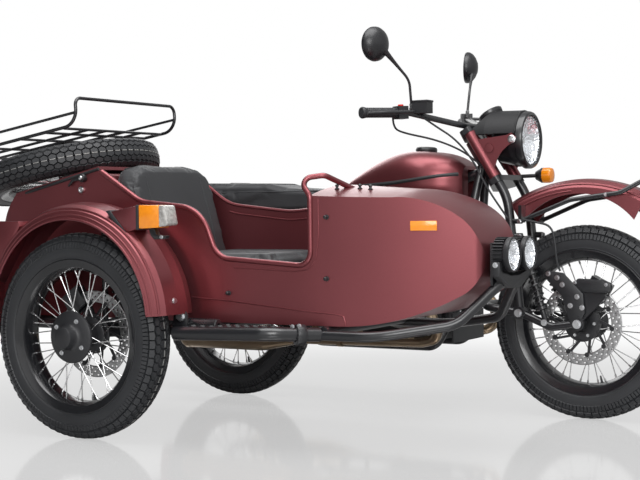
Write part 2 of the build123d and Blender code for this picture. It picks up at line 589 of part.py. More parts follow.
# Rolled bead along the cockpit's right edge, ending as a grab handle on the deck
bead_y = tub_y - tub_half_width + 4
bead_points = [(x, bead_y, z) for x, z in [(106, 896.25)] + right_edge[1:5]] + [(945, bead_y, 800)]
bead_room = tube(bead_points, 9.3, [140, 130, 75, 45])
handle_points = [(900, bead_y + 8, 856), (975, bead_y + 40, 866), (1010, bead_y + 165, 822)]
bead = tube(bead_points + handle_points, 9, [140, 130, 75, 45, 30, 25, 25])
tub = (tub - bead_room).solids().sort_by(SortBy.VOLUME)[-1]
bead = bead - tub
cockpit_shell = (tub & cockpit_side).solids().sort_by(SortBy.VOLUME)[-1]
trunk_shell = (tub - cockpit_side).solids().sort_by(SortBy.VOLUME)[-1]
hinge_y = tub_half_width + 2.0
hinge_at = lid_plane * Pos(-195, hinge_y, 0)
hinge_leaf = hinge_at * Pos(0, -0.5, -27.5) * Box(90, 3, 29) + hinge_at * Pos(0, -0.2, -7) * Box(90, 2.4, 14)
hinge_knuckle = hinge_at * Rot(Y=90) * Cylinder(6, 88)
node("sidecar_tub", cockpit_shell)
node("trunk_shell", joined([trunk_shell, hinge_leaf, hinge_knuckle]))
node("cockpit_bead", bead.solids().sort_by(SortBy.VOLUME)[-1])

# Passenger seat
cushion_half = tub_half_width - 24.0
cushion = fillet(block(300, 790, tub_y - cushion_half, tub_y + cushion_half, 478.3, 612).edges(), 28)
node("sidecar_cushion", cushion)
back_outline = [(197, 616), (296, 620), (210, 900), (192, 926), (119.5, 926)]
back_face = Plane(origin=(0, tub_y, 771), x_dir=(0, 1, 0), z_dir=(1, 0, 0))
back_face = back_face * Rectangle(2 * tub_half_width - 32, 310)
back_face = fillet(back_face.vertices().group_by(Axis.Z)[-1], 110)
seat_back = side_prism(back_outline, tub_y - tub_half_width, tub_y + tub_half_width)
seat_back = seat_back & extrude(back_face, amount=400)
node("sidecar_seat_back", seat_back)

# Trunk lid carrying the spare wheel on a post, with a rod rack above it
lid_bits = [(tub_outer & lid_slab) - hinge_at * Rot(Y=90) * Cylinder(7.5, 94)]
for x in (-110, -280):
    lid_bits.append(lid_plane * Pos(x, hinge_y, 0) * Rot(Y=90) * Cylinder(6, 78))
node("trunk_lid", joined(lid_bits))
spare_x, spare_z, hub_half = -352.0, 68.0, 52.4
spare_at = lid_plane * Pos(spare_x, 0, spare_z)
spare_turn = spare_at * Rot(X=90)
node("spare_tyre", spare_turn * tyre)
node("spare_wheel", spare_turn * laced_wheel)
post = joined([
    lid_plane * Pos(spare_x, 0, 87.3) * Cylinder(axle_radius, 174),
    lid_plane * Pos(spare_x, 0, (spare_z - hub_half + touch_gap) / 2)
    * Cylinder(38, spare_z - hub_half - touch_gap),
    lid_plane * Pos(spare_x, 0, spare_z + hub_half + 4) * Cylinder(22, 8),
])


def on_lid(x, y, z):
    return tuple((lid_plane * Pos(x, y, z)).position)


rack_z, rack_half, rack_rise = 162.0, 284.0, 0.07
rack_front, rack_rear = -100.0, -640.0
rail_radius, rack_rod_radius = 6.0, 5.0


def on_rack(x, y, z):
    return on_lid(x, y, rack_z + rack_rise * (rack_front - x) + z)


rail_right = [(rack_rear, 0), (-34, 2), (-22, 94)]
rail_path = [on_rack(x, -rack_half, z) for x, z in rail_right]
rail_path += [on_rack(x, rack_half, z) for x, z in reversed(rail_right)]
fence_bits = [tube(rail_path, rail_radius, [60, 28, 28, 60])]
for y in (-rack_half, rack_half):
    fence_bits.append(rod(on_rack(-600, y, 44), on_rack(-35, y, 44), rack_rod_radius))
    fence_bits.append(rod(on_rack(-596, y, 0), on_rack(-596, y, 44), rack_rod_radius))
node("rack_fence", joined(fence_bits))

rod_half = rack_half - rail_radius - touch_gap
rack_bits = []
for x in (rack_rear, -470, -300, -180, rack_front):
    rack_bits.append(rod(on_rack(x, -rod_half, 0), on_rack(x, rod_half, 0), rack_rod_radius))
for y in (-150, -50, 50, 150):
    rack_bits.append(rod(on_rack(rack_rear, y, 0), on_rack(rack_front, y, 0), rack_rod_radius))
rack_bits.append(Pos(*on_rack(spare_x, 0, -6)) * Rot(Y=-lid_tilt) * Box(90, 120, 10))
node("luggage_rack", joined(rack_bits + [post]))

# Sidecar frame: two rails meeting under the nose, cross tubes, wheel upright and lamp bracket
frame_half = sidecar_rail_y
rail_pts = [(-260, -frame_half, sidecar_rail_z), (1180, -frame_half, sidecar_rail_z)]
nose_x = tub_tip_x + 24.0
rail_pts += [(nose_x - 97, -165, 402), (nose_x, -60, 524)]
nose_bar = rod((nose_x, tub_y - 62, 524), (nose_x, tub_y + 62, 524), sidecar_tube_radius)
sidecar_bits = [nose_bar]
for side in (1, -1):
    points = [(x, tub_y + side * y, z) for x, y, z in rail_pts]
    sidecar_bits.append(tube(points, sidecar_tube_radius, [250, 110]))
cross_z = tub_bottom - touch_gap - sidecar_tube_radius
for x in (1000, -200):
    cross_ends = [(x, tub_y + side * frame_half, cross_z) for side in (-1, 1)]
    sidecar_bits.append(rod(*cross_ends, sidecar_tube_radius))
pivot_x, pivot_z = 500.0, 368.0
arm_y = -1050.0
sidecar_bits.append(rod((pivot_x, -1070, pivot_z), (pivot_x, tub_y + frame_half, pivot_z), 22))
upright_y = -1014.0
upright_top = fender_centre[1] + fender_radius - 24
upright_ends = [(fender_centre[0], upright_y, z) for z in (sidecar_rail_z, upright_top)]
sidecar_bits.append(rod(*upright_ends, 10))
sidecar_bits.append(rod((fender_centre[0], upright_y, 660), (fender_centre[0] + 10, arm_y - 8, 660), 9))
sidecar_bits.append(block(nose_x - 16, nose_x - 8, tub_y - 95, tub_y + 95, 520, 650))
sidecar_bits.append(tube([(520, -1128, 365), (880, -1128, 375), (985, -1000, 367)], 22, [70]))
sidecar_bits.append(rod((520, -1120, 368), (520, -1000, 368), 12))
sidecar_bits.append(block(545, 860, -1115, -1004, 376, 388))
sidecar_frame = joined(sidecar_bits)
node("sidecar_frame", sidecar_frame)

# Struts from the bike to the sidecar frame
left_rail_y = tub_y + frame_half
down_mid = tuple(Vector(*down_top) + (Vector(*down_low) - Vector(*down_top)) * 0.6)
strut_table = [
    ((930, -rail_half_width, 300), (930, left_rail_y, sidecar_rail_z), 14),
    ((400, -142, 310), (400, left_rail_y, sidecar_rail_z), 14),
    (down_mid, (down_mid[0], left_rail_y, sidecar_rail_z), 12),
    ((332, -seat_rail_half_width, seat_rail_height - 20), (250, left_rail_y, sidecar_rail_z), 12),
]
struts = []
for start, end, radius in strut_table:
    strut = rod(start, end, radius) - main_frame - sidecar_frame
    struts.append(strut.solids().sort_by(SortBy.VOLUME)[-1])
node("sidecar_struts", *struts)

# Sidecar suspension: trailing arm with the stub axle, shock and brake caliper
hub_y = -sidecar_track
arm_bits = [
    rod((pivot_x, arm_y - 16, pivot_z), (pivot_x, arm_y + 14, pivot_z), 31),
    rod((pivot_x, arm_y, pivot_z), (sidecar_lead, arm_y, axle_height), 14),
    rod((sidecar_lead, arm_y - 14, axle_height), (sidecar_lead, arm_y + 14, axle_height), 26),
    rod((sidecar_lead, arm_y, axle_height), (sidecar_lead, hub_y - 66, axle_height), axle_radius),
]
plate_outline = [(-10, 15), (13, 15), (-50, 125), (-90, 95)]
plate_outline = [(sidecar_lead + x, axle_height + z) for x, z in plate_outline]
sidecar_plate = side_prism(plate_outline, hub_y + 79, hub_y + 88)
trailing_arm = joined(arm_bits + [sidecar_at * brake_caliper(1, 125), sidecar_plate]) - sidecar_frame
trailing_arm = trailing_arm.solids().sort_by(SortBy.VOLUME)[-1]
node("sidecar_arm", trailing_arm)
sidecar_shock = coil_shock((270, arm_y, 352), (152, arm_y, 660), 10, 17, 9)
sidecar_shock = (sidecar_shock - trailing_arm - sidecar_frame).solids().sort_by(SortBy.VOLUME)[-1]
node("rear_shocks", *pair(rear_shock), sidecar_shock)

# Sidecar fender with a rolled outer lip, and its lamps
fender_drop = [(22, -1012), (4, -1060), (0, -1110), (8, -1170), (28, -1200), (58, -1212)]
fender_drop += [(58, -1207), (31, -1196), (12, -1168), (4, -1110), (8, -1060), (24, -1015)]
fender = arched([(fender_radius - drop, y) for drop, y in fender_drop], fender_centre, 3, 190)
node("sidecar_fender", fender - sidecar_frame)
drum_ends = [(fender_centre[0], y, fender_centre[1]) for y in (-1250, -950)]
fender_drum = rod(*drum_ends, fender_radius + touch_gap)
half_way = fender_radius * sin(radians(45))
lamp_base_z = fender_centre[1] + half_way
wedge_x, rear_wedge_x = fender_centre[0] + half_way, fender_centre[0] - half_way
wedge_outline = [(-116, 79), (5, 97), (5, 23), (-46, 10)]
wedge = side_prism([(wedge_x + x, lamp_base_z + z) for x, z in wedge_outline], -1185, -1105)
lens = block(wedge_x + 5, wedge_x + 122, -1185, -1125, lamp_base_z + 24, lamp_base_z + 98)
rear_outline = [(44, 30), (38, 51), (-184, 51), (-184, -79), (-91, -169)]
rear_wedge = side_prism([(rear_wedge_x + x, lamp_base_z + z) for x, z in rear_outline], -1180, -1110)
lamps = [shape - fender_drum for shape in (joined([wedge, lens]), rear_wedge)]
node("fender_lamps", *[shape.solids().sort_by(SortBy.VOLUME)[-1] for shape in lamps])

# Two round lamps on the nose bracket
spots = []
spot_profile = [(0, -55.7), (34, -55.7), (52, -40), (54, -6), (50, 0), (0, 6)]
for side in (-1, 1):
    spot = (1550, tub_y + side * 64, 614)
    spots.append(turned(spot_profile, spot, (1, 0, 0)))
node("spot_lamps", *spots)

# Rubber flap hung from the front of the cradle
node("mud_flap", block(1029, 1036, -135, 135, 262, 372) - main_frame)

boxes = [solid.bounding_box() for solids in nodes.values() for solid in solids]
centre_x = (min(b.min.X for b in boxes) + max(b.max.X for b in boxes)) / 2
centre_y = (min(b.min.Y for b in boxes) + max(b.max.Y for b in boxes)) / 2
floor_z = min(b.min.Z for b in boxes)
os.makedirs("parts", exist_ok=True)
for name, solids in nodes.items():
    placed = [solid.moved(Location((-centre_x, -centre_y, -floor_z))) for solid in solids]
    shape = placed[0] if len(placed) == 1 else Compound(placed)
    export_step(shape, f"parts/{name}.step")
print("shift", round(centre_x, 3), round(centre_y, 3), round(floor_z, 3))
print("nodes", len(nodes))
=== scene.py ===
"""A motorcycle with a sidecar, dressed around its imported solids."""
from math import atan2, cos, radians, sin, tau

import bpy
from mathutils import Matrix, Vector


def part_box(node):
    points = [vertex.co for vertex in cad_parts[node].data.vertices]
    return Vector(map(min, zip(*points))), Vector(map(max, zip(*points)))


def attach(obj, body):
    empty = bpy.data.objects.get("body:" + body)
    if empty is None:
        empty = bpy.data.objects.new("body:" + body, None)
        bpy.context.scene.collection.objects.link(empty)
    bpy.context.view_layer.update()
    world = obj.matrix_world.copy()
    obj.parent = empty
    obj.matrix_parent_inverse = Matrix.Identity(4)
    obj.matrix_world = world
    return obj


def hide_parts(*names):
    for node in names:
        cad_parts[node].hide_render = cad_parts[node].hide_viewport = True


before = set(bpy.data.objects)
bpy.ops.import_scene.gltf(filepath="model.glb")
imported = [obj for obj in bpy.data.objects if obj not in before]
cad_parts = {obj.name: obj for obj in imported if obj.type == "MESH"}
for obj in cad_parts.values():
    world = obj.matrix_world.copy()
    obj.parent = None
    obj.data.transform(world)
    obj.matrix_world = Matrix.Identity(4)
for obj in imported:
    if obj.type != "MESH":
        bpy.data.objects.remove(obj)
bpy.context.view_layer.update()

# Drawing frame of the solids, in millimetres: X forward from the rear axle, Y left of the
# bike's centre plane, Z up from the ground. The rear tyre fixes where that is in the model.
low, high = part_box("rear_tyre")
rear_axle = (low + high) / 2


def at(x, y, z):
    return Vector((rear_axle.x + x / 1000, rear_axle.y + y / 1000, z / 1000))


# Camera: a long lens in front of the sidecar and to its right, at the height of its deck.
# Its turn, tilt and focal length were fitted to the wheels of the photograph.
focal_pixels, image_width, sensor_width = 1381.1, 640, 36
eye = at(3194.9, -4695.9, 772.7)
yaw, pitch, roll = 0.5377, 0.0255, -0.0124
ahead = Vector((-sin(yaw) * cos(pitch), cos(yaw) * cos(pitch), -sin(pitch)))
across = Vector((cos(yaw), sin(yaw), 0))
above = across.cross(ahead)
across, above = cos(roll) * across + sin(roll) * above, cos(roll) * above - sin(roll) * across
bpy.ops.object.camera_add()
camera = bpy.context.object
turned_to = Matrix((across, above, -ahead)).transposed().to_4x4()
camera.matrix_world = Matrix.Translation(eye) @ turned_to
camera.data.sensor_width = sensor_width
camera.data.lens = sensor_width * focal_pixels / image_width
bpy.context.scene.camera = camera


# Studio: a white floor that keeps the soft shadow and a faint mirror of the tyres, a white
# surround that is kept dark behind the sidecar, one big soft box overhead and two at the sides.
class Sock:
    """An output socket of a shader tree. Arithmetic on it adds Math nodes."""

    def __init__(self, tree, out=None):
        self.tree, self.out = tree, out

    def node(self, kind, settings=None, sockets=None, out=0):
        made = self.tree.nodes.new("ShaderNode" + kind)
        for key, value in (settings or {}).items():
            if key == "stops":
                ramp = made.color_ramp.elements
                while len(ramp) < len(value):
                    ramp.new(1.0)
                for stop, (place, colour) in zip(ramp, value):
                    stop.position, stop.color = place, colour
            else:
                setattr(made, key, value)
        for key, value in (sockets or {}).items():
            if isinstance(value, Sock):
                self.tree.links.new(value.out, made.inputs[key])
            else:
                made.inputs[key].default_value = value
        return Sock(self.tree, made.outputs[out] if made.outputs else None)

    def math(self, operation, *values):
        return self.node("Math", {"operation": operation}, dict(enumerate(values)))

    def __add__(self, other):
        return self.math("ADD", self, other)

    def __rsub__(self, other):
        return self.math("SUBTRACT", other, self)

    def __mul__(self, other):
        return self.math("MULTIPLY", self, other)

    def __gt__(self, other):
        return self.math("GREATER_THAN", self, other)

    __radd__, __rmul__ = __add__, __mul__

    def blend(self, first, second):
        colours = {0: self, 6: first, 7: second}
        return self.node("Mix", {"data_type": "RGBA"}, colours, out=2)


def fresh(name):
    made = bpy.data.materials.new(name)
    made.use_nodes = True
    made.node_tree.nodes.clear()
    return made, Sock(made.node_tree)


def close(shade, surface):
    shade.node("OutputMaterial", None, {"Surface": surface})


bpy.ops.mesh.primitive_plane_add(size=60)
floor = bpy.context.object
floor.name = "studio_floor"
floor_white, shade = fresh("floor_white")
spot = shade.node("TexCoord", out=3)
reach = shade.node("VectorMath", {"operation": "LENGTH"}, {0: spot}, out=1)
far = shade.node("MapRange", {"interpolation_type": "SMOOTHSTEP"}, {0: reach, 1: 1.4, 2: 3.6})
grey = shade.node("TexNoise", None, {"Vector": spot, "Scale": 3.0})
pale = grey.blend((0.46, 0.46, 0.46, 1), (0.50, 0.50, 0.50, 1))
matt = shade.node("BsdfDiffuse", None, {"Color": pale})
gloss = shade.node("BsdfGlossy", None, {"Color": (1, 1, 1, 1), "Roughness": 0.09})
glow = shade.node("Emission", None, {"Color": (1, 1, 1, 1), "Strength": 1.0})
bright = (0.74 + far * 0.26) * shade.node("LightPath") + far * 0.4 * shade.node("LightPath", out=3)
plain = shade.node("MixShader", None, {0: bright, 1: matt, 2: glow})
close(shade, shade.node("MixShader", None, {0: 0.30 * (1 - far), 1: plain, 2: gloss}))
floor.data.materials.append(floor_white)

world = bpy.data.worlds.new("studio")
world.use_nodes = True
world.node_tree.nodes.clear()
sky = Sock(world.node_tree)
in_view = sky.node("LightPath")
seen = in_view + sky.node("LightPath", out=3) + sky.node("LightPath", out=6)
dim, dark_side, bright_side = 0.42, (-0.87, -0.50, 0), (0.35, -0.94, 0)
level = sky.node("VectorMath", {"operation": "MULTIPLY"}, {0: sky.node("TexCoord"), 1: (1, 1, 0)})
level = sky.node("VectorMath", {"operation": "NORMALIZE"}, {0: level})
facing = sky.node("VectorMath", {"operation": "DOT_PRODUCT"}, {0: level, 1: dark_side}, out=1)
drape = sky.node("MapRange", {"interpolation_type": "SMOOTHSTEP"}, {0: facing, 1: 0.70, 2: 0.87})
toward = sky.node("VectorMath", {"operation": "DOT_PRODUCT"}, {0: level, 1: bright_side}, out=1)
rise_span = {0: toward, 1: -0.7, 2: 0.6, 3: 0.45, 4: 1.0}
rise = sky.node("MapRange", {"interpolation_type": "SMOOTHSTEP"}, rise_span)
around = (dim + (1 - dim) * (seen > 0.5)) * (1 - 0.92 * drape) * rise
strength = in_view + (1 - in_view) * around
sky_light = sky.node("Background", None, {"Color": (1, 1, 1, 1), "Strength": strength})
sky.node("OutputWorld", None, {"Surface": sky_light})
bpy.context.scene.world = world
bpy.context.scene.view_settings.view_transform = "Standard"

soft_boxes = [
    ("overhead", (0.2, -0.6, 3.6), (3.4, 2.6), 135),
    ("front_right", (2.4, -4.0, 2.1), (2.4, 2.2), 110),
    ("rear_left", (-2.4, 2.9, 2.4), (2.6, 2.2), 40),
]
for name, place, size, watts in soft_boxes:
    bpy.ops.object.light_add(type="AREA", location=place)
    lamp = bpy.context.object
    lamp.name = name
    lamp.data.shape = "RECTANGLE"
    lamp.data.size, lamp.data.size_y = size
    lamp.data.energy = watts
    aim = Vector((0, 0, 0.5)) - Vector(place)
    lamp.rotation_euler = aim.to_track_quat("-Z", "Y").to_euler()


# Steel tubes and brackets of the bike and sidecar: bent and welded, then powder coated gloss
# black. The solids stand as they are and only take the finish.
def finish(name, light, dark, rough, grain=500.0, relief=0.08, patch=7.0, fixed=None):
    """A surface that drifts between two tints in patches, with a fine grain in its relief."""
    made, shade = fresh(name)
    spot = shade.node("TexCoord", out=3)
    drift = shade.node("TexNoise", None, {"Vector": spot, "Scale": patch, "Detail": 5.0})
    fine = shade.node("TexNoise", None, {"Vector": spot, "Scale": grain, "Detail": 2.0})
    tint = drift.blend((*dark, 1), (*light, 1))
    bump = shade.node("Bump", None, {"Strength": relief, "Distance": 0.001, "Height": fine})
    sockets = {"Base Color": tint, "Normal": bump}
    sockets["Roughness"] = rough[0] + (rough[1] - rough[0]) * drift
    close(shade, shade.node("BsdfPrincipled", None, sockets | (fixed or {})))
    return made


def dress(coat, *names):
    for name in names:
        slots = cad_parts[name].data.materials
        slots.clear()
        slots.append(coat)


gloss_black = finish(
    "gloss_black", (0.016, 0.0165, 0.019), (0.009, 0.0092, 0.011), (0.24, 0.34), 900, 0.03,
    fixed={"Coat Weight": 0.25, "Coat Roughness": 0.14})
dress(gloss_black, "main_frame", "sidecar_frame", "sidecar_struts", "swing_arm", "sidecar_arm")
dress(gloss_black, "fork", "leading_link", "handlebar", "mudguard_hoop", "luggage_rack")
dress(gloss_black, "foot_controls", "rack_fence")

# Engine: sand-cast alloy cases painted satin black, with the finned cylinders left bare.
# The lamp shell and the hand controls share the black finishes.
cast_black = finish(
    "cast_black", (0.020, 0.0205, 0.023), (0.010, 0.0103, 0.012), (0.36, 0.50), 260, 0.30)
bare_cast = finish(
    "bare_cast", (0.46, 0.46, 0.45), (0.30, 0.30, 0.30), (0.34, 0.52), 320, 0.30,
    fixed={"Metallic": 1.0})
dress(cast_black, "engine", "intake", "tail_lamp", "hand_controls")
dress(gloss_black, "headlamp")
dress(bare_cast, "cylinders")

# Exhaust: bent stainless pipes browned by heat, with a long plain silencer welded to each.
# The solid takes the finish, and its clamp bands come with the engine's trim.
browned = finish(
    "browned_steel", (0.46, 0.36, 0.25), (0.20, 0.14, 0.09), (0.24, 0.38), 700, 0.04, 9.0,
    fixed={"Metallic": 1.0})
dress(browned, "exhaust")


# Painted panels: pressed steel in a deep red satin metallic under a matt clear coat.
# The flakes are a fine cell pattern, and the clear coat has a slight orange peel.
def satin_paint(name, light, dark):
    made, shade = fresh(name)
    spot = shade.node("TexCoord", out=3)
    drift = shade.node("TexNoise", None, {"Vector": spot, "Scale": 2.6, "Detail": 3.0})
    flake = shade.node("TexVoronoi", None, {"Vector": spot, "Scale": 900.0}, out=1)
    spark = shade.node("SeparateColor", None, {0: flake})
    peel = shade.node("TexNoise", None, {"Vector": spot, "Scale": 260.0, "Detail": 1.0})
    tint = (drift * 0.7 + spark * 0.3).blend((*dark, 1), (*light, 1))
    bump = shade.node("Bump", None, {"Strength": 0.025, "Distance": 0.001, "Height": peel})
    sockets = {"Base Color": tint, "Normal": bump, "Roughness": 0.34 + 0.08 * drift}
    fixed = {"Metallic": 0.82, "Coat Weight": 0.40, "Coat Roughness": 0.26}
    close(shade, shade.node("BsdfPrincipled", None, sockets | fixed))
    return made


red_paint = satin_paint("red_satin", (0.250, 0.060, 0.069), (0.185, 0.043, 0.050))
dress(red_paint, "fuel_tank", "side_covers", "rear_mudguard", "fork_shrouds", "front_mudguard")
dress(red_paint, "sidecar_tub", "trunk_shell", "cockpit_bead", "sidecar_fender", "trunk_lid")


def begin(piece):
    """Opens a piece for editing by faces, with nothing selected."""
    bpy.ops.object.select_all(action="DESELECT")
    bpy.context.view_layer.objects.active = piece
    piece.select_set(True)
    bpy.ops.object.mode_set(mode="EDIT")
    bpy.ops.mesh.select_mode(type="FACE")
    bpy.ops.mesh.select_all(action="DESELECT")


def pick(piece, wanted):
    """Selects the faces that a test on each face accepts."""
    bpy.ops.object.mode_set(mode="OBJECT")
    for face in piece.data.polygons:
        face.select = wanted(face)
    bpy.ops.object.mode_set(mode="EDIT")


def turn(name, rings, steps=64, ends="fill"):
    """A circle drawn out along Z through (radius, height) pairs in millimetres, as on a lathe."""
    bpy.ops.object.select_all(action="DESELECT")
    bpy.ops.mesh.primitive_circle_add(vertices=steps, radius=rings[0][0] / 1000)
    piece = bpy.context.object
    piece.name = name
    bpy.ops.object.mode_set(mode="EDIT")
    bpy.ops.mesh.select_mode(type="VERT")
    bpy.ops.mesh.select_all(action="SELECT")
    bpy.ops.transform.translate(value=(0, 0, rings[0][1] / 1000))
    for (r0, z0), (r1, z1) in zip(rings, rings[1:]):
        bpy.ops.mesh.extrude_region_move(
            TRANSFORM_OT_translate={"value": (0, 0, (z1 - z0) / 1000)})
        bpy.ops.transform.resize(
            value=(r1 / r0, r1 / r0, 1), center_override=(0, 0, z1 / 1000))
    bpy.ops.mesh.select_all(action="DESELECT")
    bpy.ops.mesh.select_mode(type="EDGE")
    bpy.ops.mesh.select_non_manifold()
    if ends == "bridge":
        bpy.ops.mesh.bridge_edge_loops()
    elif ends == "fill":
        bpy.ops.mesh.fill_holes(sides=0)
    bpy.ops.mesh.select_all(action="SELECT")
    bpy.ops.mesh.normals_make_consistent(inside=False)
    bpy.ops.object.mode_set(mode="OBJECT")
    return piece


def settle(piece, place=(0, 0, 0), axis=(0, 0, 1)):
    """Stands a piece that was made about its own Z axis at its place."""
    lean = Vector((0, 0, 1)).rotation_difference(Vector(axis)).to_matrix().to_4x4()
    piece.data.transform(Matrix.Translation(place) @ lean)
    return piece


def done(piece, body, slot, coat, angle=35):
    """Shades a piece, gives it its finish and sets it on its body."""
    bpy.ops.object.select_all(action="DESELECT")
    bpy.context.view_layer.objects.active = piece
    piece.select_set(True)
    bpy.ops.object.shade_smooth_by_angle(angle=radians(angle))
    piece.data.materials.clear()
    piece.data.materials.append(coat)
    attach(piece, body)
    return piece


def lathe(name, rings, steps, place, axis, *fate, ends="fill"):
    """A turned piece stood at its place, then finished as its body and coat say. The slot in its
    fate is not used.
    """
    return done(settle(turn(name, rings, steps, ends), place, axis), *fate)


def repeat(name, pattern, placements):
    """One mesh that holds the pattern piece at each placement. The pattern goes."""
    points, faces = [], []
    for placed in placements:
        first = len(points)
        points += [placed @ v.co for v in pattern.data.vertices]
        faces += [[first + i for i in face.vertices] for face in pattern.data.polygons]
    mesh = bpy.data.meshes.new(name)
    mesh.from_pydata(points, [], faces)
    bpy.data.objects.remove(pattern)
    piece = bpy.data.objects.new(name, mesh)
    bpy.context.scene.collection.objects.link(piece)
    return piece


def between(start, end, radius):
    """Placement of a unit rod between two points, at a radius in millimetres."""
    along = end - start
    lean = Vector((0, 0, 1)).rotation_difference(along).to_matrix().to_4x4()
    size = Matrix.Diagonal((radius / 1000, radius / 1000, along.length, 1))
    return Matrix.Translation((start + end) / 2) @ lean @ size


# Wheels: four alike, a black steel rim laced with forty bright spokes to a black hub.
# Each is made about the origin with its axle along Z, then stood at its place.
wheelbase, axle_height, hub_x, hub_y = 1500, 345, 147, -1143
left = Vector((0, 1, 0))
wheel_table = {
    "front": ("front_wheel_set", at(wheelbase, 0, axle_height), left),
    "rear": ("rear_wheel_set", at(0, 0, axle_height), left),
    "sidecar": ("sidecar_wheel_set", at(hub_x, hub_y, axle_height), left),
}
low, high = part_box("spare_tyre")
lid_tilt = radians(13)
lid_up = Vector((-sin(lid_tilt), 0, cos(lid_tilt)))
wheel_table["spare"] = ("lid", (low + high) / 2, lid_up)

rim_side = [(219, 18), (221, 26), (231, 41), (246, 44.5), (256, 49), (259, 48.4), (259, 46)]
rim_side += [(251, 43.5), (243.5, 37), (242, 20)]
rim_rings = rim_side + [(r, -z) for r, z in reversed(rim_side)]
hub_side = [(13, 52), (30, 52), (31, 45), (60, 43.5), (62, 42), (62, 35), (60, 33.5), (40, 29)]
hub_rings = hub_side + [(r, -z) for r, z in reversed(hub_side)]
spoke_count, lacing, spoke_radius, nipple_radius = 40, 24, 1.9, 3.4
flange_ring, rim_ring = 0.054, 0.222
rim_black = finish(
    "rim_black", (0.014, 0.0145, 0.017), (0.008, 0.0083, 0.010), (0.18, 0.28), 700, 0.03,
    fixed={"Coat Weight": 0.4, "Coat Roughness": 0.1})
spoke_steel = finish(
    "spoke_steel", (0.72, 0.72, 0.72), (0.52, 0.52, 0.53), (0.18, 0.32), 900, 0.05, 40.0,
    fixed={"Metallic": 1.0})
for wheel, (body, centre, axle) in wheel_table.items():
    slot = wheel + "_wheel"
    rim = lathe(wheel + "_rim", rim_rings, 96, centre, axle, body, slot, rim_black, ends="bridge")
    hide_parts(slot)
    lathe(wheel + "_hub", hub_rings, 48, centre, axle, body, slot, cast_black, ends="bridge")
    runs, nipples = [], []
    for k in range(spoke_count):
        side = 1 if k % 2 else -1
        lean = lacing if k % 4 < 2 else -lacing
        rim_turn = radians(360 * k / spoke_count)
        hub_turn = rim_turn + radians(lean)
        flange = side * (40 if lean > 0 else 36) / 1000
        start = Vector((flange_ring * cos(hub_turn), flange_ring * sin(hub_turn), flange))
        end = Vector((rim_ring * cos(rim_turn), rim_ring * sin(rim_turn), side * 0.007))
        runs.append(between(start, end, spoke_radius))
        nipples.append(between(end + (start - end) * 0.085, end, nipple_radius))
    bpy.ops.mesh.primitive_cylinder_add(vertices=8, radius=1, depth=1)
    spokes = repeat(wheel + "_spokes", bpy.context.object, runs + nipples)
    done(settle(spokes, centre, axle), body, slot, spoke_steel)

# Tyres: trail tyres of moulded rubber. Six rows of blocks, each set half a block on from the
# next, lugs on the shoulders, a worn rib on the crown and a valve stem through the rim.
tread_blocks, block_height, lug_height, groove = 72, 0.0068, 0.0035, 0.0019
crown_radius, dash_size = 344.2, Matrix.Diagonal((0.0016, 0.021, 0.0034, 1))
side_wall = [(243, 33), (249, 42), (258, 47), (262, 49.5), (264, 51), (266, 50.4)]
side_wall += [(270, 51.5), (284, 52.5), (294, 52)]
tread_rows = [(315, 46), (331, 33), (336, 17), (337.5, 0)]
tyre_rings = side_wall + tread_rows
tyre_rings += [(r, -z) for r, z in reversed(side_wall + tread_rows[:-1])]
zigzag = {17: -0.0035, 33: 0.0025}
tread_step = tau / (2 * tread_blocks)
rubber = finish(
    "tyre_rubber", (0.026, 0.0275, 0.031), (0.012, 0.0127, 0.0145), (0.44, 0.62), 420, 0.22, 11.0)
worn_rubber = finish(
    "worn_rubber", (0.30, 0.30, 0.29), (0.16, 0.16, 0.155), (0.30, 0.46), 420, 0.2, 60.0)


def tread_column(point):
    return round(atan2(point.y, point.x) / tread_step) % 2


def ring_of(count, radius, height, first=0.0):
    """Placements evenly round Z, each turned to face outwards."""
    spots = []
    for k in range(count):
        swing = Matrix.Rotation(tau * k / count + radians(first), 4, "Z")
        spots.append(swing @ Matrix.Translation((radius / 1000, 0, height / 1000)))
    return spots


def ease(piece, width, steps=2):
    bpy.context.view_layer.objects.active = piece
    edge = piece.modifiers.new("ease", "BEVEL")
    edge.width, edge.segments, edge.limit_method = width / 1000, steps, "ANGLE"
    bpy.ops.object.modifier_apply(modifier=edge.name)
    return piece


def wire(name, points, radius, smooth=True, tapers=None):
    """A round bar bent through points, with its radius in millimetres."""
    curve = bpy.data.curves.new(name, "CURVE")
    curve.dimensions = "3D"
    line = curve.splines.new("NURBS" if smooth else "POLY")
    line.points.add(len(points) - 1)
    for k, (knot, point) in enumerate(zip(line.points, points)):
        knot.co = (*point, 1)
        knot.radius = tapers[k] if tapers else 1
    line.order_u = 3
    line.use_endpoint_u = True
    curve.resolution_u = 5
    curve.bevel_depth, curve.bevel_resolution, curve.use_fill_caps = radius / 1000, 2, True
    piece = bpy.data.objects.new(name, curve)
    bpy.context.scene.collection.objects.link(piece)
    bpy.ops.object.select_all(action="DESELECT")
    bpy.context.view_layer.objects.active = piece
    piece.select_set(True)
    bpy.ops.object.convert(target="MESH")
    return bpy.context.object


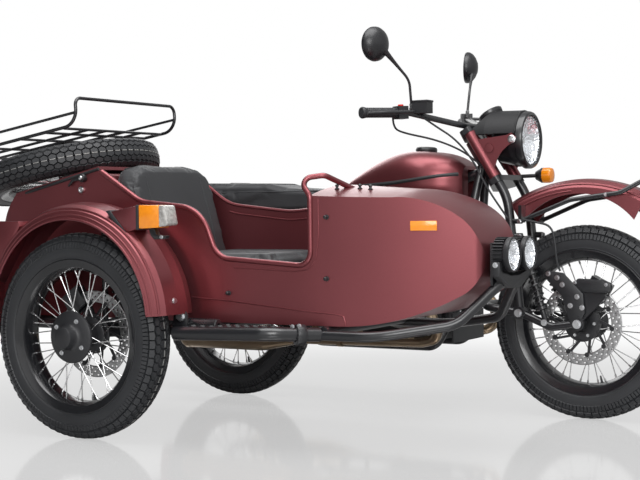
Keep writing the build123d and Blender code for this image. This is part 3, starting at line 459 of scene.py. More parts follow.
for wheel, (body, centre, axle) in wheel_table.items():
    tyre = turn(wheel + "_tread_tyre", tyre_rings, 2 * tread_blocks, "bridge")
    points = tyre.data.vertices
    joints = []
    for edge in tyre.data.edges:
        one, two = points[edge.vertices[0]].co, points[edge.vertices[1]].co
        height = abs(one.z + two.z) * 500
        along_ring = abs(one.z - two.z) < 0.001
        if along_ring or height > 42:
            continue
        middle_row = 20 < height < 30
        if (tread_column(one) == 1) != middle_row:
            joints.append(edge.index)
    for point in points:
        shift = zigzag.get(round(abs(point.co.z) * 1000), 0)
        shift *= 1 if tread_column(point.co) == 0 else -1
        point.co.z += shift if point.co.z > 0 else -shift
    begin(tyre)
    bpy.ops.mesh.select_mode(type="EDGE")
    bpy.ops.object.mode_set(mode="OBJECT")
    for index in joints:
        tyre.data.edges[index].select = True
    bpy.ops.object.mode_set(mode="EDIT")
    bpy.ops.mesh.dissolve_edges(use_verts=False)
    bpy.ops.mesh.select_mode(type="FACE")
    pick(tyre, lambda face: face.center.xy.length > 0.318)
    bpy.ops.mesh.inset(thickness=groove, depth=block_height, use_individual=True)
    pick(tyre, lambda face: 0.300 < face.center.xy.length < 0.308 and abs(face.center.z) > 0.048)
    bpy.ops.mesh.inset(thickness=groove, depth=lug_height, use_individual=True)
    bpy.ops.object.mode_set(mode="OBJECT")
    done(settle(tyre, centre, axle), body, wheel + "_tyre", rubber, 25)
    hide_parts(wheel + "_tyre")
    bpy.ops.mesh.primitive_cube_add(size=1)
    dash = ease(bpy.context.object, 120)
    worn = [spot @ dash_size for spot in ring_of(tread_blocks, crown_radius, 0, 2.5)]
    dashes = repeat(wheel + "_crown_rib", dash, worn)
    done(settle(dashes, centre, axle), body, wheel + "_tyre", worn_rubber)
    stem = [Vector((0.048, 0.204, 0)) * k for k in (1.06, 1.0, 0.93)]
    stem = settle(wire(wheel + "_valve", stem, 4.2, tapers=[1.3, 1, 0.7]), centre, axle)
    done(stem, body, wheel + "_wheel", rubber)


# Brake discs: floating rings of ground stainless, drilled in three rows, on black carriers with
# ten arms, bolted to the hubs. The front one is on the right, the other two on the left.
disc_rows = [108, 114, 119.5, 125, 130.5, 136, 141.5, 147.5]
disc_thick, drill_columns = 0.005, 120
ground_steel = finish(
    "ground_steel", (0.50, 0.50, 0.50), (0.36, 0.36, 0.37), (0.26, 0.40), 500, 0.08, 30.0,
    fixed={"Metallic": 1.0})
zinc = finish(
    "zinc_plate", (0.74, 0.75, 0.76), (0.55, 0.56, 0.58), (0.22, 0.36), 600, 0.08, 60.0,
    fixed={"Metallic": 1.0})


def drilled(face):
    row = sum(face.center.xy.length * 1000 > edge for edge in disc_rows) - 1
    column = round(atan2(face.center.y, face.center.x) / tau * drill_columns - 0.5)
    return row in (1, 3, 5) and (column + row - 1) % 4 == 0


for wheel, face, slot in (("front", -1, "front_brake_disc"), ("rear", 1, "rear_wheel"),
                          ("sidecar", 1, "sidecar_wheel")):
    body, centre, axle = wheel_table[wheel]
    flat_rings = [(r, 63 if face > 0 else -68) for r in disc_rows]
    disc = turn(wheel + "_disc", flat_rings, drill_columns, "open")
    begin(disc)
    pick(disc, drilled)
    bpy.ops.mesh.delete(type="FACE")
    bpy.ops.mesh.select_all(action="SELECT")
    bpy.ops.mesh.normals_make_consistent(inside=False)
    bpy.ops.object.mode_set(mode="OBJECT")
    thick = disc.modifiers.new("thick", "SOLIDIFY")
    thick.thickness = disc_thick
    thick.offset = 1 if disc.data.polygons[0].normal.z > 0 else -1
    bpy.ops.object.modifier_apply(modifier=thick.name)
    soft = disc.modifiers.new("soft", "SUBSURF")
    bpy.ops.object.modifier_apply(modifier=soft.name)
    done(settle(disc, centre, axle), body, slot, ground_steel)
    if wheel == "front":
        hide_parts(slot)
    bell = [(31, 52.5), (58, 52.5), (66, 57), (66, 62), (54, 64), (40, 64), (31, 62)]
    bell = turn(wheel + "_disc_bell", [(r, face * z) for r, z in bell], 48, "bridge")
    done(settle(bell, centre, axle), body, slot, cast_black)
    bpy.ops.mesh.primitive_cube_add(size=1)
    sweep = Matrix.Rotation(radians(24), 4, "Z") @ Matrix.Diagonal((0.056, 0.009, 0.0045, 1))
    arms = [spot @ sweep for spot in ring_of(10, 87, face * 64)]
    arms = repeat(wheel + "_disc_arms", bpy.context.object, arms)
    done(settle(arms, centre, axle), body, slot, cast_black)
    bpy.ops.mesh.primitive_cylinder_add(vertices=14, radius=0.0085, depth=0.008)
    buttons = repeat(wheel + "_disc_buttons", bpy.context.object, ring_of(10, 112, face * 65.5, 8))
    done(settle(buttons, centre, axle), body, slot, cast_black)
    bpy.ops.mesh.primitive_cylinder_add(vertices=6, radius=0.006, depth=0.009)
    studs = repeat(wheel + "_disc_bolts", bpy.context.object, ring_of(6, 48, face * 67))
    done(settle(studs, centre, axle), body, slot, zinc)


# Sidecar hub cap: a cast black dished plate with a deep cup at its middle, turned in one piece
# and held to the hub by four zinc-plated bolts.
def bolts(name, body, slot, coat, places):
    """Hexagon bolt heads on washers. Each place has a point, the way it faces and a radius."""
    bpy.ops.mesh.primitive_cylinder_add(vertices=14, radius=1.45, depth=0.3, location=(0, 0, 0.15))
    washer = bpy.context.object
    bpy.ops.mesh.primitive_cylinder_add(vertices=6, radius=1.1, depth=0.9, location=(0, 0, 0.7))
    head = bpy.context.object
    washer.select_set(True)
    bpy.ops.object.join()
    bpy.ops.object.transform_apply(location=True)
    spots = []
    for place, facing, radius in places:
        lean = Vector((0, 0, 1)).rotation_difference(Vector(facing)).to_matrix().to_4x4()
        spots.append(Matrix.Translation(place) @ lean @ Matrix.Scale(radius / 1000, 4))
    return done(repeat(name, head, spots), body, slot, coat)


right = Vector((0, -1, 0))
cap_rings = [(60, -53), (86, -54), (87.5, -57), (86, -61), (78, -66), (56, -69), (46, -72)]
cap_rings += [(40, -79), (38, -97), (35, -104), (27, -107.5), (2, -108)]
lathe("sidecar_hub_cap", cap_rings, 64, wheel_table["sidecar"][1], left,
      "sidecar_wheel_set", "sidecar_wheel", cast_black)
cap_turns = [tau * (k + 0.35) / 4 for k in range(4)]
cap_spots = [at(hub_x + 62 * sin(a), hub_y - 68, axle_height + 62 * cos(a)) for a in cap_turns]
bolts("sidecar_cap_bolts", "sidecar_wheel_set", "sidecar_wheel", zinc,
      [(spot, right, 5.5) for spot in cap_spots])


# Shocks: black dampers inside wound steel springs, between an upper and a lower eye.
# Each is a turned damper joined with a coil bent through points.
def merged(name, pieces):
    bpy.ops.object.select_all(action="DESELECT")
    for piece in pieces:
        piece.select_set(True)
    bpy.context.view_layer.objects.active = pieces[0]
    bpy.ops.object.join()
    pieces[0].name = name
    return pieces[0]


def shock(name, body, slot, bottom, top, size, coils):
    """A coil-over shock between two eyes. Its size is the radius of the spring."""
    along = top - bottom
    length = along.length * 1000
    first, last = 0.20 * length, 0.84 * length
    rings = [(0.40 * size, 0), (0.46 * size, 6), (0.46 * size, 0.15 * length)]
    rings += [(size, 0.16 * length), (size, 0.19 * length), (0.55 * size, 0.20 * length)]
    rings += [(0.55 * size, 0.85 * length), (size, 0.85 * length), (size, 0.93 * length)]
    rings += [(0.5 * size, 0.96 * length), (0.4 * size, length)]
    damper = settle(turn(name + "_damper", rings, 32), bottom, along)
    turns = []
    for k in range(coils * 12 + 1):
        angle = tau * k / 12
        rise = first + (last - first) * k / (coils * 12)
        reach = (size - 4) / 1000
        turns.append(Vector((reach * cos(angle), reach * sin(angle), rise / 1000)))
    spring = settle(wire(name + "_spring", turns, 0.16 * size), bottom, along)
    return done(merged(name, [damper, spring]), body, slot, gloss_black)


shock_table = [
    ("front_shock_right", "steering", "front_shocks", -95, (1380, 344), (1289, 646), 23, 10),
    ("front_shock_left", "steering", "front_shocks", 95, (1380, 344), (1289, 646), 23, 10),
    ("rear_shock_right", "chassis", "rear_shocks", -152, (95, 394), (76, 729), 28, 10),
    ("rear_shock_left", "chassis", "rear_shocks", 152, (95, 394), (76, 729), 28, 10),
    ("sidecar_shock", "chassis", "rear_shocks", -1050, (268, 358), (154, 656), 17, 12),
]
for name, body, slot, y, low_eye, high_eye, size, coils in shock_table:
    bottom, top = (at(x, y, z) for x, z in (low_eye, high_eye))
    piece = shock(name, body, slot, bottom, top, size, coils)
    if name in ("front_shock_right", "rear_shock_right"):
        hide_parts(slot)


# Front brake: a black four-piston caliper on a bracket plate that also takes the link's torque
# rod, with zinc-plated bolts, and a rubber hose that comes down from the mudguard's stay.
def plate(name, outline, thick, bevel=1.0):
    """A flat outline in millimetres, drawn up along Z and eased at its edges."""
    bpy.ops.object.select_all(action="DESELECT")
    bpy.ops.mesh.primitive_circle_add(vertices=len(outline), radius=1, fill_type="NGON")
    piece = bpy.context.object
    piece.name = name
    for vertex, (u, v) in zip(piece.data.vertices, outline):
        vertex.co = (u / 1000, v / 1000, 0)
    bpy.ops.object.mode_set(mode="EDIT")
    bpy.ops.mesh.select_mode(type="FACE")
    bpy.ops.mesh.select_all(action="SELECT")
    bpy.ops.mesh.extrude_region_move(TRANSFORM_OT_translate={"value": (0, 0, thick / 1000)})
    bpy.ops.mesh.select_all(action="SELECT")
    bpy.ops.mesh.normals_make_consistent(inside=False)
    bpy.ops.object.mode_set(mode="OBJECT")
    return ease(piece, bevel) if bevel else piece


def stand(piece, origin, u, v):
    """Sets a piece drawn in its own XY plane at a place, with its X along u and its Y along v."""
    u, v = Vector(u).normalized(), Vector(v).normalized()
    lay = Matrix((u, v, u.cross(v))).transposed().to_4x4()
    piece.data.transform(Matrix.Translation(origin) @ lay)
    return piece


forward, up = Vector((1, 0, 0)), Vector((0, 0, 1))


def panel(name, outline, thick, bevel, origin, *fate, u=forward, v=up):
    """A plate stood at its place, upright along the bike unless told, then finished."""
    return done(stand(plate(name, outline, thick, bevel), origin, u, v), *fate)


bracket = [(-30, 4), (-4, -22), (26, 40), (20, 106), (-52, 178), (-110, 186), (-128, 168)]
bracket += [(-58, 96)]
on_link = "steering", "leading_link", cast_black
panel("front_brake_plate", bracket, 9, 2.5, at(wheelbase, -97, axle_height), *on_link)
caliper = [(-76, -10), (-58, -24), (50, -22), (70, -8), (66, 16), (30, 25), (-56, 23)]
panel("front_caliper", caliper, 18, 5.0, at(1552, -84, 478), *on_link,
      u=(1, 0, -0.06), v=(0.06, 0, 1))
brake_bolts = [(1393, 520), (1426, 506), (1445, 482), (1499, 441), (1474, 409), (1517, 403)]
brake_bolts = [(at(x, -106, z), right, 6.5) for x, z in brake_bolts]
brake_bolts += [(at(x, -102, z), right, 4.5) for x, z in ((1490, 490), (1602, 484))]
brake_bolts += [(at(wheelbase, -112, axle_height), right, 11), (at(1281, -113, 378), right, 10)]
brake_bolts += [(at(1380, -116, 347), right, 8)]
bolts("front_brake_bolts", "steering", "leading_link", zinc, brake_bolts)
hose = [(1300, -112, 712), (1351, -116, 702), (1412, -118, 690), (1426, -118, 620)]
hose += [(1428, -116, 560), (1440, -112, 530)]
hose = wire("front_brake_hose", [at(*point) for point in hose], 4.0)
done(hose, "steering", "hand_controls", rubber)


# Headlamp: a faceted plated reflector and bulb shield behind clear glass, in a black steel
# shell with a turned bezel, held between the fork's ears.
def bright_bowl(name, scale):
    """Vacuum-plated reflector, its facets drawn by a fluted relief."""
    made, shade = fresh(name)
    spot = shade.node("TexCoord", out=3)
    flute = shade.node("TexVoronoi", {"feature": "F1"}, {"Vector": spot, "Scale": scale})
    tone = flute.blend((0.98, 0.98, 0.99, 1), (0.80, 0.82, 0.85, 1))
    bump = shade.node("Bump", None, {"Strength": 0.6, "Distance": 0.004, "Height": flute})
    sockets = {"Base Color": tone, "Normal": bump, "Roughness": 0.06 + 0.10 * flute}
    close(shade, shade.node("BsdfPrincipled", None, sockets | {"Metallic": 1.0}))
    return made


def clear_glass(name, tint, mirror_part):
    """Clear or tinted lens: it lets light through, and mirrors a little with a fluted relief."""
    made, shade = fresh(name)
    spot = shade.node("TexCoord", out=3)
    ripple = shade.node("TexNoise", None, {"Vector": spot, "Scale": 160.0, "Detail": 1.0})
    bump = shade.node("Bump", None, {"Strength": 0.15, "Distance": 0.001, "Height": ripple})
    through = shade.node("BsdfTransparent", None, {"Color": (*tint, 1)})
    mirror = {"Color": (1, 1, 1, 1), "Roughness": 0.05, "Normal": bump}
    shine = shade.node("BsdfGlossy", None, mirror)
    part = mirror_part * (0.8 + 0.4 * ripple)
    close(shade, shade.node("MixShader", None, {0: part, 1: through, 2: shine}))
    return made


lamp_glass = clear_glass("lamp_glass", (0.96, 0.97, 0.98), 0.12)
plated = bright_bowl("plated_bowl", 70.0)
lamp_x, lamp_z = 1300, 998
lamp_spot, in_lens = at(lamp_x, 0, lamp_z), ("steering", "headlamp_lens")
bowl = [(88, -15), (82, -30), (66, -50), (44, -64), (20, -71), (2, -72)]
lathe("headlamp_bowl", bowl, 64, lamp_spot, forward, *in_lens, plated, ends="open")
lens = [(89, -16), (89, -10), (80, -5), (60, -2), (30, -0.5), (2, 0)]
lens = lathe("headlamp_glass", lens, 64, lamp_spot, forward, *in_lens, lamp_glass, ends="open")
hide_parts("headlamp_lens")
shield = [(15, -64), (15, -44), (11, -38), (2, -36)]
lathe("headlamp_bulb_shield", shield, 24, lamp_spot, forward, *in_lens, spoke_steel)
bezel = [(90, -14), (90, -7), (95, -4), (101, -7), (104, -14), (104, -30), (97, -34)]
lathe("headlamp_bezel", bezel, 72, lamp_spot, forward, "steering", "headlamp", gloss_black,
      ends="bridge")

# Lamp ears: pressed steel with a round boss, painted red, and held to the lamp shell by a
# zinc-plated bolt on a cup washer.
for side in (-1, 1):
    facing = Vector((0, side, 0))
    tag = "right" if side < 0 else "left"
    on_ear = "steering", "fork_shrouds"
    boss = [(20, 0), (20, 1.5), (18.5, 1.5), (18, 0.6), (17, 0.6), (16, 2.6), (2, 3)]
    lathe("ear_boss_" + tag, boss, 40, at(1173, side * 108, 969), facing, *on_ear, red_paint)
    cup = [(15, 0), (15, 3), (12, 5), (7, 5), (6, 2), (2, 2)]
    cup_spot = at(lamp_x - 40, side * 108, lamp_z)
    lathe("ear_washer_" + tag, cup, 32, cup_spot, facing, *on_ear, zinc)
    bolts("ear_bolt_" + tag, *on_ear, zinc, [(cup_spot + facing * 0.004, facing, 5)])

# Hood: black grained leathercloth over the lamp, piped along its front edge, and the
# speedometer that looks back at the rider.
leathercloth = finish(
    "leathercloth", (0.012, 0.012, 0.0135), (0.006, 0.006, 0.007), (0.46, 0.60), 320, 0.5,
    fixed={"Specular IOR Level": 0.3})
dress(leathercloth, "lamp_hood")
piping = []
for k in range(-15, 16):
    lean = radians(5 * k)
    piping.append(at(lamp_x - 33, 104 * sin(lean), lamp_z + 104 * cos(lean)))
done(wire("hood_piping", piping, 5), "steering", "lamp_hood", leathercloth)
dial_up = Vector((-0.5, 0, 0.87)).normalized()
dial_spot = at(lamp_x - 150, 0, lamp_z + 70) + dial_up * 0.038
dial_rings = [(45, -8), (46, 2), (43, 5), (40, 4), (40, 1.5), (2, 1.5)]
glass_rings = [(40, 3.4), (20, 4.2), (2, 4.4)]
on_hood = "steering", "lamp_hood"
lathe("speedometer_dial", dial_rings, 48, dial_spot, dial_up, *on_hood, gloss_black)
lathe("speedometer_glass", glass_rings, 40, dial_spot, dial_up, *on_hood, lamp_glass)

# Turn signal on the fork: a black moulded cup on a short stem, with an amber moulded lens
# pressed into its front.
# The amber finish has a faint emission: a painted glow that brightens the lenses and the side
# reflector from within, though no lamp is lit in them.
amber = finish(
    "amber_lens", (0.95, 0.33, 0.012), (0.80, 0.225, 0.008), (0.10, 0.22), 240, 0.6, 70.0,
    fixed={"Coat Weight": 0.6, "Coat Roughness": 0.05, "Emission Color": (0.9, 0.26, 0.01, 1),
           "Emission Strength": 0.12})
dress(cast_black, "front_signal")
signal_lens = [(28.6, -14), (28.6, 8), (26, 18), (14, 22), (2, 23)]
lathe("front_signal_lens", signal_lens, 40, at(lamp_x - 10, 158, 872), forward,
      "steering", "front_signal", amber)

# Mirrors: silvered glass in round black moulded bowls, on bent steel stems that are screwed
# to the handlebar with a lock nut.
mirror_glass = finish(
    "mirror_glass", (0.92, 0.93, 0.94), (0.86, 0.87, 0.88), (0.02, 0.05), 60, 0.02, 3.0,
    fixed={"Metallic": 1.0})
moulded_black = finish(
    "moulded_black", (0.018, 0.0185, 0.021), (0.010, 0.0103, 0.012), (0.30, 0.42), 420, 0.12)
mirror_table = {
    "right": ((928, -236, 1106), (932, -262, 1216), (868, -372, 1340), -1),
    "left": ((928, 236, 1106), (928, 262, 1205), (892, 372, 1312), 1),
}
for tag, (foot, bend, head, side) in mirror_table.items():
    facing = Vector((-0.966, -side * 0.257, 0.05)).normalized()
    foot, bend, head = at(*foot), at(*bend), at(*head)
    bowl = [(2, -22), (22, -19), (40, -11), (54, 0), (61, 12), (62, 22), (60, 27), (57, 26)]
    fate = "steering", "mirrors", moulded_black
    bowl = lathe("mirror_bowl_" + tag, bowl, 56, head, facing, *fate)
    glass = [(57, 26.4), (2, 26.4)]
    lathe("mirror_glass_" + tag, glass, 56, head, facing, "steering", "mirrors", mirror_glass)
    neck = head + (bend - head).normalized() * 0.045
    stem = [foot, foot.lerp(bend, 0.6), bend, bend.lerp(neck, 0.4), neck, head]
    done(wire("mirror_stem_" + tag, stem, 5, tapers=[1, 1, 1, 1, 1.9, 3.2]), *fate)
    nut = [(9, -2), (9, 12), (7, 14), (7, 26), (5.5, 28)]
    lathe("mirror_nut_" + tag, nut, 6, foot, bend - foot, "steering", "mirrors", gloss_black)
    if tag == "right":
        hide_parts("mirrors")

# Handlebar: rubber grips with raised rings, the brake reservoir's lid, a red stop switch and
# the rubber-sheathed cables that run from the hand controls down to the fork.
grip_near, grip_far = at(918, -260, 1100), at(825, -415, 1096)
grip_rings = [(17.2, 44), (20, 45), (20, 50), (17.6, 51)]
for k in range(14):
    grip_rings += [(17.6, 56 + k * 8), (18.2, 57 + k * 8), (18.2, 61 + k * 8), (17.6, 62 + k * 8)]
grip_rings += [(20.5, 178), (21, 184), (19, 188), (4, 189)]
for side, tag in ((-1, "right"), (1, "left")):
    near = Vector((grip_near.x, rear_axle.y + side * 0.260, grip_near.z))
    far = Vector((grip_far.x, rear_axle.y + side * 0.415, grip_far.z))
    lathe("grip_" + tag, grip_rings, 32, near, far - near, "steering", "handlebar", rubber)


def oblong(half_long, half_high):
    return [(-half_long, -half_high), (half_long, -half_high), (half_long, half_high),
            (-half_long, half_high)]


on_bar = "steering", "hand_controls"
signal_red = finish("signal_red", (0.75, 0.03, 0.02), (0.6, 0.02, 0.015), (0.3, 0.4), 300, 0.1)
panel("reservoir_lid", oblong(33, 27), 8, 3.0, at(971, -238, 1135), *on_bar, moulded_black, v=left)
panel("stop_switch", oblong(9, 6), 8, 2.0, at(906, -281, 1121), *on_bar, signal_red, v=left)
cable_table = {
    "throttle_cable": [(884, -300, 1086), (878, -290, 1046), (896, -240, 1028), (976, -150, 1006),
                       (1046, -90, 970), (1092, -74, 935), (1150, -86, 895)],
    "brake_line": [(956, -235, 1092), (1001, -190, 1050), (1060, -156, 1006), (1120, -138, 930),
                   (1158, -128, 850), (1200, -122, 780), (1244, -112, 716)],
    "clutch_cable": [(884, 300, 1086), (905, 260, 1066), (960, 190, 1056), (1040, 112, 1034),
                     (1095, 86, 980), (1150, 86, 895)],
}
for name, route in cable_table.items():
    done(wire(name, [at(*point) for point in route], 3.6), *on_bar, rubber)

# Front mudguard: pressed steel with two ribs along each side, painted red, and held to its
# stays by zinc-plated bolts.
def arc(x, y, z, reach, first, last, steps):
    """Points round a wheel's centre at one reach, between two angles above the horizontal."""
    turns = [radians(first + (last - first) * k / steps) for k in range(steps + 1)]
    return [at(x + reach * cos(a), y, z + reach * sin(a)) for a in turns]


rib_table = [("upper", 489, 64.5, 63, 120), ("lower", 466, 70.6, 94, 120)]
for side, tag in ((-1, "right"), (1, "left")):
    for name, reach, offset, first, last in rib_table:
        rib = arc(wheelbase, side * offset, axle_height, reach, first, last, 18)
        rib = wire(f"mudguard_rib_{name}_{tag}", rib, 3.2)
        done(rib, "steering", "front_mudguard", red_paint)
    facing = Vector((0, side, 0))
    bolts("mudguard_bolts_" + tag, "steering", "mudguard_hoop", zinc,
          [(at(1288, side * 112, 705), facing, 6), (at(1288, side * 112, 652), facing, 6),
           (at(1600, side * 92, 796), facing, 5)])

# Tank: a black moulded screw cap on the painted steel tank, and a rubber strip that covers
# the welded seam along each side.
cap_rings = [(36, -4), (40, 2), (41, 10), (38, 17), (30, 20), (2, 21)]
lathe("tank_cap", cap_rings, 18, at(868, 0, 966), (0.05, 0, 1),
      "chassis", "fuel_tank", moulded_black, 20)


def touch(name, start, heading):
    """Where a line from a point first meets a solid, or nothing if it passes by."""
    found, place, _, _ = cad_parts[name].ray_cast(start, Vector(heading).normalized())
    return place if found else None


def touches(name, starts, heading):
    places = [touch(name, start, heading) for start in starts]
    return [place for place in places if place]


strip_line = [(640, 842), (720, 846), (800, 851), (880, 860), (950, 869), (1010, 876), (1042, 878)]
for side, tag in ((-1, "right"), (1, "left")):
    run = touches("fuel_tank", [at(x, side * 400, z) for x, z in strip_line], (0, -side, 0))
    done(wire("tank_strip_" + tag, run, 7.5), "chassis", "fuel_tank", rubber)


# Seats: foam under black vinyl, drawn tight over a pan, with piped seams. The covers are blown
# up as cloth from the plain solids.
vinyl = finish(
    "seat_vinyl", (0.044, 0.045, 0.048), (0.028, 0.029, 0.031), (0.48, 0.62), 240, 0.5,
    fixed={"Specular IOR Level": 0.3})


voxel, pressure, blow_steps, skirt_reach = 0.006, 4, 20, 0.06


def pad(name, node, swell, shrink, skirt=0.0):
    """A cushion from its plain solid: remeshed, drawn in a little and blown up as cloth.
    A skirt carries its foot down behind the piece below it."""
    piece = bpy.data.objects.new(name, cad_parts[node].data.copy())
    bpy.context.scene.collection.objects.link(piece)
    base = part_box(node)[0].z
    begin(piece)
    bpy.ops.mesh.select_all(action="SELECT")
    bpy.ops.mesh.remove_doubles(threshold=0.0001)
    bpy.ops.object.mode_set(mode="OBJECT")
    piece.data.remesh_voxel_size = voxel
    bpy.ops.object.voxel_remesh()
    bpy.ops.object.mode_set(mode="EDIT")
    bpy.ops.mesh.select_all(action="SELECT")
    bpy.ops.transform.shrink_fatten(value=-shrink)
    bpy.ops.object.mode_set(mode="OBJECT")
    for vertex in piece.data.vertices:
        vertex.co.z -= skirt * max(0.0, 1 - (vertex.co.z - base) / skirt_reach)
    base -= skirt
    rest = [vertex.co.copy() for vertex in piece.data.vertices]
    cloth = piece.modifiers.new("swell", "CLOTH")
    cloth.settings.use_pressure = True
    cloth.settings.uniform_pressure_force = pressure
    cloth.settings.effector_weights.gravity = 0
    cloth.point_cache.frame_start, cloth.point_cache.frame_end = 1, blow_steps
    for step in range(1, blow_steps + 1):
        bpy.context.scene.frame_set(step)
    blown = piece.evaluated_get(bpy.context.evaluated_depsgraph_get()).data
    moved = [vertex.co.copy() for vertex in blown.vertices]
    piece.modifiers.remove(cloth)
    for vertex, start, end in zip(piece.data.vertices, rest, moved):
        push = end - start
        if push.length > swell:
            push *= swell / push.length
        vertex.co = start + push
        vertex.co.z = max(vertex.co.z, base)
    soft = piece.modifiers.new("soft", "SUBSURF")
    bpy.context.view_layer.objects.active = piece
    bpy.ops.object.modifier_apply(modifier=soft.name)
    done(piece, "chassis", node, vinyl, 60)
    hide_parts(node)
    return piece


def seam(name, piece, starts, heading, radius=2.2):
    """Piping laid on a cushion where lines from the starts meet it."""
    run = []
    for start in starts:
        found, place, _, _ = piece.ray_cast(start, Vector(heading).normalized())
        if found:
            run.append(place)
    return done(wire(name, run, radius), "chassis", piece.name.replace("_pad", ""), vinyl)


saddle = pad("saddle_pad", "saddle", 0.012, 0.008)
cushion = pad("sidecar_cushion_pad", "sidecar_cushion", 0.014, 0.010)
seat_back = pad("sidecar_seat_back_pad", "sidecar_seat_back", 0.012, 0.008, skirt=0.055)
tub_y = -725
for side, tag in ((-1, "right"), (1, "left")):
    starts = [at(-120 + 66 * k, side * 400, 826) for k in range(11)]
    seam("saddle_seam_" + tag, saddle, starts, (0, -side, 0))
    starts = [at(600, tub_y + side * 160, 640 + 34 * k) for k in range(9)]
    seam("seat_back_seam_" + tag, seat_back, starts, (-1, 0, 0))
    starts = [at(330 + 48 * k, tub_y + side * 120, 900) for k in range(10)]
    seam("cushion_seam_" + tag, cushion, starts, (0, 0, -1))
for k, x in enumerate((20, 240)):
    starts = [at(x, -130 + 26 * j, 1000) for j in range(11)]
    seam(f"saddle_cross_seam_{k}", saddle, starts, (0, 0, -1))

# Sidecar flank: a pressed crease along its foot and another round the cockpit's edge, black
# cover studs, an amber side reflector, and a rolled bead on the far edge of the cockpit.
foot_line = [(485, 472), (640, 463), (968, 434), (1030, 430), (1056, 424), (1062, 405), (1061, 394)]
edge_line = [(655, 572), (780, 567), (890, 562), (938, 570), (966, 606), (974, 680), (974, 790)]
flank_lines = {"foot_crease": (foot_line, 2.4), "edge_crease": (edge_line, 1.8)}
outside, overhead = -1300, 1200
on_tub = "chassis", "sidecar_tub"


def on_flank(x, z):
    return touch("sidecar_tub", at(x, outside, z), left)


for name, (line, radius) in flank_lines.items():
    line = [Vector(point) for point in line]
    fine = [a.lerp(b, k / 6) for a, b in zip(line, line[1:]) for k in range(6)] + line[-1:]
    run = touches("sidecar_tub", [at(x, outside, z) for x, z in fine], left)
    done(wire("flank_" + name, run, radius), *on_tub, red_paint)
stud_rings = [(8, 0), (8, 2), (5, 3), (4, 7), (6, 9), (6, 13), (4, 15), (1, 15.5)]
for k, (x, z) in enumerate(((1003, 734), (1001, 541), (634, 489))):
    lathe(f"cover_stud_{k}", stud_rings, 16, on_flank(x, z), right, *on_tub, moulded_black)
for k, (x, y) in enumerate(((985, -880), (1052, -850), (1090, -850))):
    place = touch("sidecar_tub", at(x, y, overhead), -up)
    lathe(f"deck_stud_{k}", stud_rings, 16, place, up, *on_tub, moulded_black)
rear_end, front_end = on_flank(1272, 705), on_flank(1351, 705)
along = front_end - rear_end
# The reflector takes the amber finish with its painted glow.
panel("side_reflector", oblong(along.length * 500, 15), 8, 1.5, (rear_end + front_end) / 2,
      *on_tub, amber, u=along)
left_edge = [at(110 + 36 * k, tub_y + 256, overhead) for k in range(24)]
left_edge = touches("sidecar_tub", left_edge, -up)
done(wire("cockpit_left_bead", left_edge, 7), "chassis", "cockpit_bead", red_paint)
inside = at(0, tub_y, 0).y
hem = [Vector((point.x, inside, point.z - 0.030)) for point in left_edge[4:]]
done(wire("cockpit_hem", touches("sidecar_tub", hem, left), 3), *on_tub, red_paint)

# Trunk: a rubber seal under the lid's edge, a black moulded turn handle with a plated button,
# and a zinc-plated key lock, all fixed through the painted shell.
def on_lid(x, y, z):
    lean, rise = cos(lid_tilt), sin(lid_tilt)
    return at(92 + x * lean - z * rise, tub_y + y, 915 + x * rise + z * lean)


seal = [(2, -261), (-150, -261), (-300, -261), (-352, -258), (-380, -230), (-391, -150), (-391, 0)]
seal = seal[:-1] + [(x, -y) for x, y in reversed(seal)]
done(wire("lid_seal", [on_lid(x, y, -10) for x, y in seal], 5.5), "lid", "trunk_lid", rubber)
on_shell, latch_spot = ("chassis", "trunk_shell"), at(29, -985, 876)
boss = [(15, 0), (15, 12), (13, 16), (9, 18), (8, 16)]
lathe("latch_boss", boss, 28, latch_spot, right, *on_shell, moulded_black)
button = [(8, 14), (8, 19), (6, 22), (2, 23)]
lathe("latch_button", button, 24, latch_spot, right, *on_shell, zinc)
lever = [(-66, -27), (-60, -30), (-40, -12), (-8, -7), (6, -6), (6, 6), (-10, 6), (-46, -4)]
panel("latch_lever", lever, 6, 1.8, at(29, -991, 876), *on_shell, moulded_black)
lock = [(12, 0), (12, 5), (10, 8), (7, 8), (6.5, 5), (2, 5)]
lathe("trunk_lock", lock, 24, at(19, -985, 835), right, *on_shell, zinc)

# Fender: pressed steel with three beads rolled along its outer side, painted red, and held
# to its stays by zinc-plated bolts.
fender_x, fender_z = 140, 405
bead_table = [("outer", 366, -1191, 4.5), ("lower", 345, -1205, 3.5), ("lip", 331, -1211, 4.5)]
for name, reach, y, radius in bead_table:
    bead = arc(fender_x, y, fender_z, reach, 4, 189, 37)
    done(wire("fender_bead_" + name, bead, radius), "chassis", "sidecar_fender", red_paint)
front_bolt = touch("sidecar_fender", at(800, -1130, 470), -forward)
rear_bolt = touch("sidecar_fender", at(-206, outside, 470), left)
bolts("fender_bolts", "chassis", "sidecar_fender", zinc,
      [(front_bolt, forward, 7), (rear_bolt, right, 6)])

# Fender lamps: painted wedges on black gaskets. The front one carries an amber signal with a
# clear marker before it, the rear one a red lens.
# The clear marker lens is painted in near-white and near-black patches: a painted reflection in
# place of the light and dark that clear glass shows.
marker = finish(
    "marker_lens", (0.92, 0.90, 0.86), (0.12, 0.115, 0.11), (0.06, 0.16), 130, 0.9, 120.0,
    fixed={"Metallic": 0.3, "Coat Weight": 0.4, "Coat Roughness": 0.05})
ruby = finish(
    "ruby_lens", (0.62, 0.02, 0.015), (0.46, 0.012, 0.010), (0.10, 0.2), 220, 0.5, 60.0,
    fixed={"Coat Weight": 0.6, "Coat Roughness": 0.05})
wedge = [(302, 758), (368, 690), (414, 702), (414, 776)]
gasket = [(290, 760), (363, 684), (374, 690), (306, 764)]
joint = [(413, 699), (424, 699), (424, 779), (413, 779)]
amber_part = [(424, 703), (500, 706), (504, 710), (502, 774), (498, 778), (424, 779)]
clear_part = [(503, 708), (533, 712), (538, 718), (527, 772), (522, 777), (503, 777)]
hanger = [(452, 706), (462, 680), (476, 668), (520, 670), (522, 680), (486, 682), (474, 706)]
